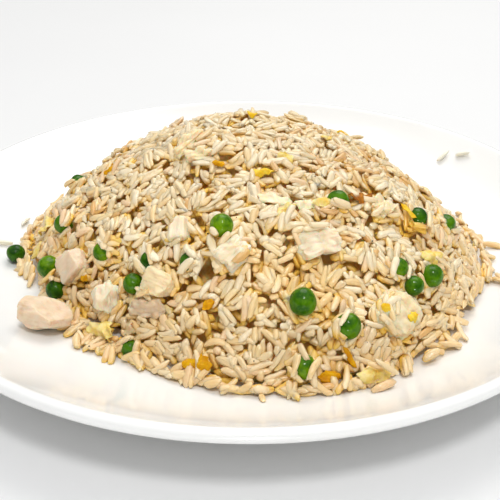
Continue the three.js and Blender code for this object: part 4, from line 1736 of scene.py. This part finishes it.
@dataclass(frozen=True)
class Chunk:
    """A diced piece of chicken: knife-cut faces, a torn corner or two, and fibres that run one way.

    Attributes:
        cuts: How many cuts cross each edge of its grid.
        edge: The least and the most that its edges are sharp.
        slices: How many slanted faces it has.
        slice_depth: How far out those lie, as a part of its half size.
        fibre_pitch: How far apart its fibres are.
        fibre_depth: How deep the dips between them are.
        torn: How lumpy it is.
        grooves: How many deep grooves part it into lobes.
        groove_depth: How deep those are.
        groove_width: How wide they are.
        wedge: How much narrower one of its ends may be.
    """

    cuts: int = 22
    edge: tuple[float, float] = (3.5, 8.0)
    slices: int = 4
    slice_depth: tuple[float, float] = (0.84, 1.15)
    fibre_pitch: float = 1.6
    fibre_depth: float = 0.09
    torn: float = 0.22
    grooves: int = 0
    groove_depth: float = 1.1
    groove_width: float = 1.1
    wedge: float = 0.16

    def build(self, node: str, seed: int, finish: bpy.types.Material,
              facets: Sequence[tuple[Colour, float]] = ()) -> bpy.types.Object:
        """Makes the chunk that stands for a solid.

        Args:
            node: The solid's name.
            seed: What its cuts are drawn from.
            finish: Its material.
            facets: Slanted faces of its own: the way each faces and how far out it lies.

        Returns:
            The chunk.
        """
        draw = np.random.default_rng(SEED + 100 + seed)
        lie = Lie.of(node)
        cube, faces = block_shape(self.cuts)
        edge = draw.uniform(*self.edge)
        body = cube / (np.abs(cube) ** edge).sum(-1, keepdims=True) ** (1 / edge)
        for way in unit(draw.normal(size=(self.slices, 3))):
            past = np.maximum(0, body @ way - draw.uniform(*self.slice_depth))
            body = body - past[:, None] * way
        for facing, out in facets:
            way = unit(np.array(facing))
            body = body - np.maximum(0, body @ way - out)[:, None] * way
        body[:, 1:] *= 1 - body[:, :1] * draw.uniform(-self.wedge, self.wedge, 2)
        body = body * lie.size / 2
        outward = unit(body / (lie.size / 2) ** 2)
        fibres = Waves(self.fibre_pitch, SEED + seed, 24).at(body * np.array([0.12, 1.0, 1.0]))
        lumps = Waves(4.5, SEED + seed + 50).at(body)
        body = body + outward * (self.fibre_depth * fibres + self.torn * lumps)[:, None]
        for way in unit(draw.normal(size=(self.grooves, 3)) * np.array([1.0, 0.6, 0.2])):
            apart = body @ way - draw.uniform(-0.2, 0.2) * lie.size[0] + 0.5 * lumps
            groove = self.groove_depth * np.exp(-((apart / self.groove_width) ** 2))
            body = body - outward * groove[:, None]
        fibre = np.concatenate([body * MM, np.ones((len(body), 1))], -1)
        piece = mesh_piece("diced_" + node, lie.out(body), faces, finish, {"fibre": fibre})
        return settle(piece, "chicken", node)


@dataclass(frozen=True)
class Scrap:
    """A thin torn scrap of omelette: an angular outline, a fold, curled edges and small blisters.

    Attributes:
        rings: How many rings of points lie between its middle and its edge.
        spokes: How many points go round it.
        corners: The fewest and the most corners of its outline.
        thickness: Its thickness in millimetres.
        curl: How far its edge curls.
        ripple: How high its ripples are.
    """

    rings: int = 12
    spokes: int = 48
    corners: tuple[int, int] = (5, 8)
    thickness: float = 0.9
    curl: float = 0.8
    ripple: float = 0.55

    def outline(self, turn: np.ndarray, draw: np.random.Generator) -> np.ndarray:
        """How far the torn outline lies from the middle at some angles.

        Args:
            turn: The angles.
            draw: Where chance comes from.

        Returns:
            The distances, about 1.
        """
        count = draw.integers(self.corners[0], self.corners[1] + 1)
        at = np.arange(count) * 2 * np.pi / count + draw.uniform(-0.35, 0.35, count)
        reach = draw.uniform(0.88, 1.15, count)
        corner = np.stack([np.cos(at), np.sin(at)], -1) * reach[:, None]
        following = np.roll(corner, -1, 0)
        side = following - corner
        way = np.stack([np.cos(turn), np.sin(turn)], -1)
        normal = np.stack([side[:, 1], -side[:, 0]], -1)
        far = (corner * normal).sum(-1) / np.maximum(way @ normal.T, 1e-3)
        straight = np.where(way @ normal.T > 1e-3, far, 9.0).min(-1)
        return straight * (1 + 0.05 * np.sin(9 * turn + draw.uniform(0, 6.3)))

    def sheet(self, size: np.ndarray, seed: int) -> tuple[np.ndarray, np.ndarray]:
        """The scrap's shape, flat in its own frame.

        Args:
            size: Its length, width and the height of its folds.
            seed: What its outline and folds are drawn from.

        Returns:
            Its points and triangles.
        """
        draw = np.random.default_rng(SEED + 200 + seed)
        bands = 2 * self.rings
        latitude, longitude = ball_angles(bands, self.spokes)
        out = np.cos(latitude) ** 0.8
        lobed = self.outline(longitude, draw)
        x = out * lobed * np.cos(longitude) * size[0] / 2
        y = out * lobed * np.sin(longitude) * size[1] / 2
        flat = np.stack([x, y, np.zeros_like(x)], -1)
        fold = max(0.0, size[2] - self.thickness) * (0.35 - (y / size[1] * 2) ** 2 * 0.7)
        wavy = self.ripple * Waves(4.0, SEED + 300 + seed).at(flat)
        lifted = self.curl * np.maximum(0, out - 0.6) ** 2 * Waves(6.0, SEED + 400 + seed).at(flat) * 4
        blister = 0.1 * Waves(1.4, SEED + 500 + seed, 16).at(flat)
        side = np.sign(latitude) * np.abs(np.sin(latitude)) ** 0.5 * self.thickness / 2
        z = fold + wavy + lifted + side + blister * (latitude > 0)
        return np.stack([x, y, z], -1), ball_faces(bands, self.spokes)

    def build(self, node: str, seed: int, finish: bpy.types.Material, slot: str) -> bpy.types.Object:
        """Makes the scrap that stands for a solid.

        Args:
            node: The solid's name.
            seed: What its outline and folds are drawn from.
            finish: Its material.
            slot: The record's slot.

        Returns:
            The scrap.
        """
        lie = Lie.of(node)
        points, faces = self.sheet(lie.size, seed)
        return settle(mesh_piece("piece_of_" + node, lie.out(points), faces, finish), slot, node)


@dataclass(frozen=True)
class Morsel:
    """A small bit of egg, or a pale flake, that lies on the rice.

    Attributes:
        x: Its place, to the right.
        y: Its place, away from the diner.
        length: How long it is.
        width: How wide it is.
        turn: Its heading, in degrees.
        tone: Its finish.
    """

    x: float
    y: float
    length: float
    width: float
    turn: float
    tone: Tone = Tone.PALE_EGG


SMALL_SCRAP = Scrap(rings=6, spokes=22, thickness=0.8, ripple=0.25, curl=0.6)


@dataclass
class Morsels:
    """The small bits that lie loose on the rice, one piece for each tone."""

    bed: RiceBed
    form: Scrap = SMALL_SCRAP
    height: float = 1.7

    def build(self, morsels: Sequence[Morsel], finishes: dict[Tone, bpy.types.Material]) -> None:
        """Makes the bits.

        Args:
            morsels: Where they lie.
            finishes: What each tone is dressed in.
        """
        for tone in sorted({morsel.tone for morsel in morsels}, key=lambda tone: tone.value):
            points, faces, count = [], [], 0
            for seed, morsel in enumerate(morsels):
                if morsel.tone is not tone:
                    continue
                lie = self.bed.seat(morsel.x, morsel.y, morsel.turn)
                size = np.array([morsel.length, morsel.width, self.height])
                sheet, triangles = self.form.sheet(size, 60 + seed)
                points.append(lie.out(sheet))
                faces.append(triangles + count)
                count += len(sheet)
            name = "bits_of_" + tone.value
            piece = mesh_piece(name, np.concatenate(points), np.concatenate(faces), finishes[tone])
            settle(piece, "rice" if tone is Tone.FLAKE else "egg")


@dataclass(frozen=True)
class Pepper:
    """Fine specks of ground pepper on the rice."""

    count: int = 130
    across: tuple[float, float] = (0.25, 0.75)

    def build(self, bed: RiceBed, finish: bpy.types.Material) -> bpy.types.Object:
        """Scatters the specks.

        Args:
            bed: The rice that they lie on.
            finish: Their material.

        Returns:
            The piece that holds them all.
        """
        draw = np.random.default_rng(SEED + 10)
        ball, faces = ball_points(4, 6), ball_faces(4, 6)
        spots = np.argwhere((bed.owner >= 0) & ~bed.taken)
        points = []
        for i, j in spots[draw.integers(len(spots), size=self.count)]:
            size = draw.uniform(*self.across) / 2 * draw.uniform(0.6, 1.0, 3)
            speck = ball * size * draw.uniform(0.75, 1.2, (len(ball), 1))
            points.append(bed.base[i, j] + bed.normal[i, j] * bed.height[i, j] + speck)
        triangles = repeated(faces, len(ball), self.count)
        return settle(mesh_piece("pepper_specks", np.concatenate(points), triangles, finish), "browned")


# The studio


@dataclass(frozen=True)
class Lamp:
    """A soft square lamp that points at the plate.

    Attributes:
        name: Its name.
        at: Where it hangs, in metres.
        size: The length of its side, in metres.
        power: Its power in watts.
        tint: Its colour.
        aim: What it points at.
    """

    name: str
    at: Colour
    size: float
    power: float
    tint: Colour
    aim: Colour = (0.0, 0.0, 0.03)

    def hang(self) -> None:
        """Puts the lamp in the scene."""
        light = bpy.data.lights.new(self.name, "AREA")
        light.size, light.energy, light.color = self.size, self.power, self.tint
        lamp = bpy.data.objects.new(self.name, light)
        lamp.location = self.at
        lamp.rotation_euler = (Vector(self.aim) - Vector(self.at)).to_track_quat("-Z", "Y").to_euler()
        bpy.context.scene.collection.objects.link(lamp)


@dataclass(frozen=True)
class Studio:
    """A pale floor, soft light from above and behind, and the camera of the photo."""

    camera_at: tuple[float, float, float] = (0.0, -318.5, 185.27)
    camera_aim: tuple[float, float, float] = (0.0, -32.0, 26.0)
    focal_pixels: float = 878.0
    image_pixels: float = 500.0
    sensor: float = 36.0
    floor_half: float = 4000.0
    floor_white: tuple[float, float] = (0.80, 0.82)
    horizon: float = 0.03
    far_wall: float = 0.75
    far_wall_top: float = 0.1
    zenith: float = 0.88
    lamps: tuple[Lamp, ...] = (
        Lamp("back_lamp", (0.15, 0.6, 1.0), 0.8, 6.6, (1.0, 0.985, 0.95)),
        Lamp("front_lamp", (0.1, -0.5, 0.95), 0.2, 3.7, (1.0, 1.0, 1.0)),
        Lamp("low_lamp", (0.0, -1.3, 0.05), 0.08, 3.0, (1.0, 0.99, 0.97)),
    )

    def floor(self) -> bpy.types.Object:
        """A wide pale floor under the plate."""
        half = self.floor_half
        points = np.array([[-half, -half, 0], [half, -half, 0], [half, half, 0], [-half, half, 0]])
        first, second = ((white, white, white) for white in self.floor_white)
        material = Plain("floor_paint", first, second, 400.0, 0.6, depth=0.0).make()
        floor = mesh_piece("floor", points, np.array([[0, 1, 2], [0, 2, 3]]), material)
        return floor

    def room(self) -> None:
        """An even white room, brightest overhead, with a pale far wall behind the floor's edge."""
        world = bpy.data.worlds.new("white_room")
        world.use_nodes = True
        tree = world.node_tree
        sky = tree.nodes["Background"]
        sky.inputs["Color"].default_value = (0.98, 0.99, 1.0, 1.0)
        place = tree.nodes.new("ShaderNodeTexCoord")
        split = tree.nodes.new("ShaderNodeSeparateXYZ")
        rise = tree.nodes.new("ShaderNodeMapRange")
        rise.interpolation_type = "SMOOTHSTEP"
        rise.inputs["From Min"].default_value = self.far_wall_top
        rise.inputs["To Min"].default_value = self.horizon
        rise.inputs["To Max"].default_value = self.zenith
        wall = tree.nodes.new("ShaderNodeMapRange")
        wall.inputs["From Min"].default_value = self.far_wall_top / 2
        wall.inputs["From Max"].default_value = self.far_wall_top
        wall.inputs["To Min"].default_value = self.far_wall
        wall.inputs["To Max"].default_value = 0.0
        brighter = tree.nodes.new("ShaderNodeMath")
        brighter.operation = "MAXIMUM"
        tree.links.new(place.outputs["Generated"], split.inputs[0])
        tree.links.new(split.outputs["Z"], rise.inputs["Value"])
        tree.links.new(split.outputs["Z"], wall.inputs["Value"])
        tree.links.new(rise.outputs["Result"], brighter.inputs[0])
        tree.links.new(wall.outputs["Result"], brighter.inputs[1])
        tree.links.new(brighter.outputs[0], sky.inputs["Strength"])
        bpy.context.scene.world = world

    def light(self) -> None:
        """Lights the room, and the plate from above and behind and from the diner's side."""
        self.room()
        for lamp in self.lamps:
            lamp.hang()

    def camera(self) -> None:
        """Sets the camera where the photo was taken from."""
        lens = bpy.data.cameras.new("photo_camera")
        lens.sensor_width = self.sensor
        lens.lens = self.sensor * self.focal_pixels / self.image_pixels
        lens.clip_start, lens.clip_end = 0.01, 20.0
        camera = bpy.data.objects.new("photo_camera", lens)
        at, aim = Vector(self.camera_at) * MM, Vector(self.camera_aim) * MM
        camera.location = at
        camera.rotation_euler = (aim - at).to_track_quat("-Z", "Y").to_euler()
        bpy.context.scene.collection.objects.link(camera)
        bpy.context.scene.camera = camera

    def build(self) -> None:
        """Sets up the floor, the light and the camera."""
        bpy.context.scene.view_settings.view_transform = "Standard"
        self.floor()
        self.light()
        self.camera()


# What this plate holds

KIND_SHARES = (
    (Kind.BROWNED, 0.014),
    (Kind.TAN, 0.12),
    (Kind.GLASSY, 0.28),
    (Kind.BUTTERY, 0.52),
    (Kind.CREAM, 0.77),
)

RICE_FINISHES = {
    Kind.WHITE: Rice("white_grain", (0.92, 0.80, 0.58), (0.89, 0.74, 0.49), stained=0.2),
    Kind.CREAM: Rice("cream_grain", (0.91, 0.75, 0.49), (0.87, 0.68, 0.40)),
    Kind.BUTTERY: Rice("buttery_grain", (0.90, 0.71, 0.40), (0.86, 0.62, 0.31)),
    Kind.TAN: Rice("tan_grain", (0.88, 0.67, 0.43), (0.82, 0.57, 0.33), stained=0.4),
    Kind.GLASSY: Rice("glassy_grain", (0.84, 0.72, 0.48), (0.78, 0.63, 0.38), glow=0.9, wet=0.8),
    Kind.BROWNED: Rice("browned_grain", (0.78, 0.50, 0.20), (0.68, 0.38, 0.12), stained=0.6),
}

STRAY_FINISH = Rice(
    "stray_grain", (0.95, 0.92, 0.80), (0.93, 0.86, 0.68), stained=0.05, sauce_and_shade_strength=0.1, lowest=0.0
)

# The core's golden-orange colour is painted warm shade, seen through the gaps between the grains.
PAINTED_SHADE_CORE_FINISH = Plain("rice_core", (0.88, 0.56, 0.13), (0.93, 0.66, 0.24), 4.0, 0.5, 0.6, depth=0.3)

TONES = {
    Tone.BRIGHT_PEA: PeaSkin("bright_pea_skin", (0.15, 0.30, 0.001), (0.03, 0.12, 0.0), (0.22, 0.36, 0.01)),
    Tone.MID_PEA: PeaSkin("mid_pea_skin", (0.085, 0.22, 0.001), (0.018, 0.09, 0.0), (0.12, 0.26, 0.005)),
    Tone.DEEP_PEA: PeaSkin("deep_pea_skin", (0.042, 0.145, 0.0), (0.008, 0.050, 0.0), (0.06, 0.17, 0.003)),
    Tone.WHITE_MEAT: Meat("white_chicken", (0.90, 0.81, 0.62), (0.84, 0.68, 0.45), stained=0.2),
    Tone.PINK_MEAT: Meat("pink_chicken", (0.83, 0.69, 0.51), (0.75, 0.55, 0.36), stained=0.25),
    Tone.CREAM_MEAT: Meat("cream_chicken", (0.89, 0.76, 0.50), (0.82, 0.64, 0.36), stained=0.25),
    Tone.TAN_MEAT: Meat("tan_chicken", (0.78, 0.62, 0.43), (0.66, 0.46, 0.28), stained=0.4),
    Tone.GOLDEN_EGG: Omelette("golden_egg", (0.74, 0.39, 0.004), (0.60, 0.26, 0.002)),
    Tone.YELLOW_EGG: Omelette("yellow_egg", (0.88, 0.64, 0.07), (0.80, 0.47, 0.012)),
    Tone.PALE_EGG: Omelette("pale_egg", (0.89, 0.73, 0.32), (0.86, 0.61, 0.14), browned=0.12),
    Tone.BROWNED: Omelette("browned_egg", (0.55, 0.22, 0.025), (0.28, 0.09, 0.01), browned=0.6),
    Tone.CLEAR: Plain("cooked_onion", (0.70, 0.52, 0.28), (0.80, 0.64, 0.38), 3.0, 0.3, 0.5, 0.1),
    Tone.FLAKE: Plain("pale_flake", (0.88, 0.74, 0.46), (0.92, 0.82, 0.56), 3.0, 0.35, 0.7),
    Tone.PEPPER: Plain("ground_pepper", (0.02, 0.014, 0.01), (0.06, 0.035, 0.02), 0.4, 0.6, depth=0.0),
}

PEA_TONES = {
    **dict.fromkeys(("pea_3", "pea_5", "pea_9", "pea_13", "pea_18", "pea_22"), Tone.BRIGHT_PEA),
    **dict.fromkeys(("pea_4", "pea_7", "pea_8", "pea_11", "pea_on_plate"), Tone.DEEP_PEA),
}

CHICKEN_TONES = {
    **dict.fromkeys(("chicken_1", "chicken_on_plate"), Tone.PINK_MEAT),
    **dict.fromkeys(("chicken_3", "chicken_8", "chicken_9", "chicken_10", "chicken_11"), Tone.CREAM_MEAT),
    "chicken_4": Tone.TAN_MEAT,
}

CHUNKS = {
    Cut.CRISP: Chunk(edge=(7.0, 11.0), slices=6, slice_depth=(0.88, 1.2), torn=0.16),
    Cut.ROUND: Chunk(edge=(2.1, 2.6), slices=3, slice_depth=(0.85, 1.0), fibre_depth=0.18, torn=0.4),
    Cut.TORN: Chunk(
        edge=(3.5, 6.0), slices=4, slice_depth=(0.78, 1.05), fibre_depth=0.16, torn=0.32, grooves=1
    ),
}

FACETS = {
    "chicken_on_plate": (
        ((0.5, 0.0, 0.87), 0.62),
        ((0.45, -0.5, -0.74), 0.72),
        ((0.9, -0.4, 0.1), 0.86),
        ((-0.5, -0.4, -0.76), 0.95),
    ),
    "chicken_2": (((0.3, -0.6, 0.7), 0.82), ((-0.8, 0.3, 0.3), 0.85)),
}

CHICKEN_CUTS = {
    **dict.fromkeys(("chicken_1", "chicken_3", "chicken_5", "chicken_on_plate"), Cut.CRISP),
    **dict.fromkeys(("chicken_2", "chicken_4"), Cut.ROUND),
}

EGG_TONES = {
    **dict.fromkeys(("egg_1", "egg_2", "egg_10"), Tone.GOLDEN_EGG),
    **dict.fromkeys(("egg_6", "egg_12"), Tone.YELLOW_EGG),
}

MORSELS = (
    Morsel(25.2, -42.3, 8.5, 4.0, 15),
    Morsel(-11.3, -23.1, 5.0, 3.2, -20, Tone.GOLDEN_EGG),
    Morsel(55.7, -31.5, 8.5, 3.0, -35, Tone.YELLOW_EGG),
    Morsel(43.0, -72.6, 4.5, 3.0, -30, Tone.YELLOW_EGG),
    Morsel(51.5, -71.9, 4.5, 4.0, 80, Tone.YELLOW_EGG),
    Morsel(30.0, 6.1, 6.0, 3.2, 30),
    Morsel(0.0, 9.1, 5.0, 3.0, 10, Tone.YELLOW_EGG),
    Morsel(-14.0, -72.9, 5.0, 3.2, 50, Tone.GOLDEN_EGG),
    Morsel(-59.3, -43.1, 4.5, 3.0, -10, Tone.GOLDEN_EGG),
    Morsel(32.1, -86.8, 8.5, 2.2, -60, Tone.GOLDEN_EGG),
    Morsel(-84.0, -13.0, 9.0, 4.0, 20),
    Morsel(8.7, -42.0, 13.0, 5.5, -12, Tone.FLAKE),
    Morsel(20.0, -43.0, 9.0, 4.5, 10, Tone.FLAKE),
    Morsel(-30.0, 40.0, 6.5, 4.0, 40),
    Morsel(38.0, 30.0, 6.0, 3.5, -25, Tone.YELLOW_EGG),
    Morsel(-62.0, 58.0, 7.0, 3.5, 10),
    Morsel(10.0, 78.0, 6.5, 4.5, 70, Tone.GOLDEN_EGG),
    Morsel(64.0, 54.0, 7.5, 3.5, 120),
)

HOLES = (
    (-31.9, -49.3, 2.0),
    (-14.2, -61.0, 1.9),
    (-14.6, -64.6, 1.9),
    (-12.0, -76.2, 1.7),
    (-43.5, -60.5, 1.8),
    (19.1, -61.0, 1.5),
    (26.0, -62.0, 1.9),
    (36.0, 42.0, 1.8),
    (-24.0, 52.0, 1.8),
)

COVERS = (
    Cover("pea_1", -90, 3, 0.8, 0.0),
    Cover("pea_2", -30, 3, 0.8),
    Cover("pea_3", -90, 1, 0.95, 0.3),
    Cover("pea_4", 40, 2, 0.8, 0.4),
    Cover("pea_5", -10, 3, 0.7),
    Cover("pea_7", 180, 2, 0.7, 0.4),
    Cover("pea_7", -20, 3, 0.6, 0.4),
    Cover("pea_8", -90, 3, 0.6, 0.3),
    Cover("pea_8", 10, 3, 0.5, 0.3),
    Cover("pea_9", -150, 2, 0.8),
    Cover("pea_10", -90, 3, 0.7, 0.2),
    Cover("pea_11", -90, 2, 0.95, -0.25),
    Cover("pea_12", -150, 2, 0.85, -0.1),
    Cover("pea_13", -140, 2, 0.85, 0.2),
    Cover("pea_17", 150, 1, 0.55, 0.8),
    Cover("pea_17", -150, 2, 0.8, 0.1),
    Cover("pea_18", -15, 3, 0.6, 0.3),
    Cover("pea_18", 180, 2, 0.6, 0.5),
    Cover("pea_18", -120, 1, 0.9, 0.3),
    Cover("pea_19", 80, 2, 0.6, 0.4),
    Cover("pea_19", -80, 2, 0.8),
    Cover("chicken_5", -120, 1, 0.9),
    Cover("chicken_6", -40, 2, 0.8, 0.3),
    Cover("chicken_6", 120, 1, 0.7, 0.6),
    Cover("chicken_7", 110, 2, 0.7, 0.5),
    Cover("chicken_8", -60, 1, 0.9),
    Cover("chicken_4", 60, 2, 0.7, 0.4),
    Cover("chicken_9", -120, 2, 0.9, 0.1),
    Cover("chicken_9", 180, 1, 0.75, 0.3),
    Cover("chicken_9", 165, 1, 0.45, 0.52),
    Cover("chicken_9", -160, 1, 0.5, 0.5),
    Cover("chicken_9", -140, 1, 0.75, 0.35),
    Cover("chicken_9", 140, 1, 0.7, 0.35),
    Cover("chicken_9", -105, 1, 0.8, 0.3),
    Cover("chicken_9", 180, 1, 0.2, 0.62),
    Cover("egg_3", 90, 2, 0.5, 0.6),
    Cover("egg_3", -60, 2, 0.7, 0.3),
)


def names_of(kind: str) -> list[str]:
    """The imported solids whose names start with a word, in order."""
    found = [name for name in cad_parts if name.startswith(kind + "_")]
    return sorted(found, key=lambda name: (len(name), name))


def lay_toppings(finishes: dict[Tone, bpy.types.Material]) -> None:
    """Makes the peas, the chicken, the egg, the browned scrap and the onion.

    Args:
        finishes: What each tone is dressed in.
    """
    for number, name in enumerate(names_of("pea")):
        Pea().build(name, number, finishes[PEA_TONES.get(name, Tone.MID_PEA)])
    for number, name in enumerate(names_of("chicken")):
        chunk = CHUNKS[CHICKEN_CUTS.get(name, Cut.TORN)]
        chunk.build(name, number, finishes[CHICKEN_TONES.get(name, Tone.WHITE_MEAT)], FACETS.get(name, ()))
    for number, name in enumerate(names_of("egg")):
        Scrap().build(name, number, finishes[EGG_TONES.get(name, Tone.PALE_EGG)], "egg")
    Scrap().build("browned_scrap", 40, finishes[Tone.BROWNED], "browned")
    Scrap().build("onion_bit", 41, finishes[Tone.CLEAR], "onion")


def lay_strays(rice: RiceGrains) -> bpy.types.Object:
    """Makes the single grains that lie off the heap, as their solids do.

    Args:
        rice: The loose grains, whose form they share.

    Returns:
        The piece that holds them all.
    """
    names = names_of("stray")
    lies = [Lie.of(name) for name in names]
    grains = [Grain(lie.middle, lie.axes[0], lie.axes[2], lie.size[0], lie.size[1]) for lie in lies]
    piece = rice.piece("stray_rice", grains, STRAY_FINISH.make(), np.random.default_rng(SEED + 11))
    return settle(piece, "rice", *names)


def main() -> None:
    """Builds the plate, the toppings, the rice and the studio."""
    logging.basicConfig(level=logging.INFO, format="%(message)s")
    plate = Plate()
    plate.build(Glaze())
    finishes = {tone: finish.make() for tone, finish in TONES.items()}
    lay_toppings(finishes)

    bed = RiceBed(Heap(plate))
    bed.bury([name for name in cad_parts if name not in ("plate", "rice_heap")])
    bed.hollow(HOLES)
    # The core fills the heap under the loose grains; its colour is painted warm shade in the gaps.
    points, faces = bed.core()
    settle(mesh_piece("rice_core", points, faces, PAINTED_SHADE_CORE_FINISH.make()), "rice", "rice_heap")
    rice = RiceGrains(bed)
    rice.pour()
    rice.fill()
    rice.lap()
    rice.cover(COVERS)
    rice.scatter()
    Morsels(bed).build(MORSELS, finishes)
    Pepper().build(bed, finishes[Tone.PEPPER])
    rice.strew()
    rice.build(RICE_FINISHES)
    lay_strays(rice)

    Studio().build()


if __name__ == "__main__":
    main()
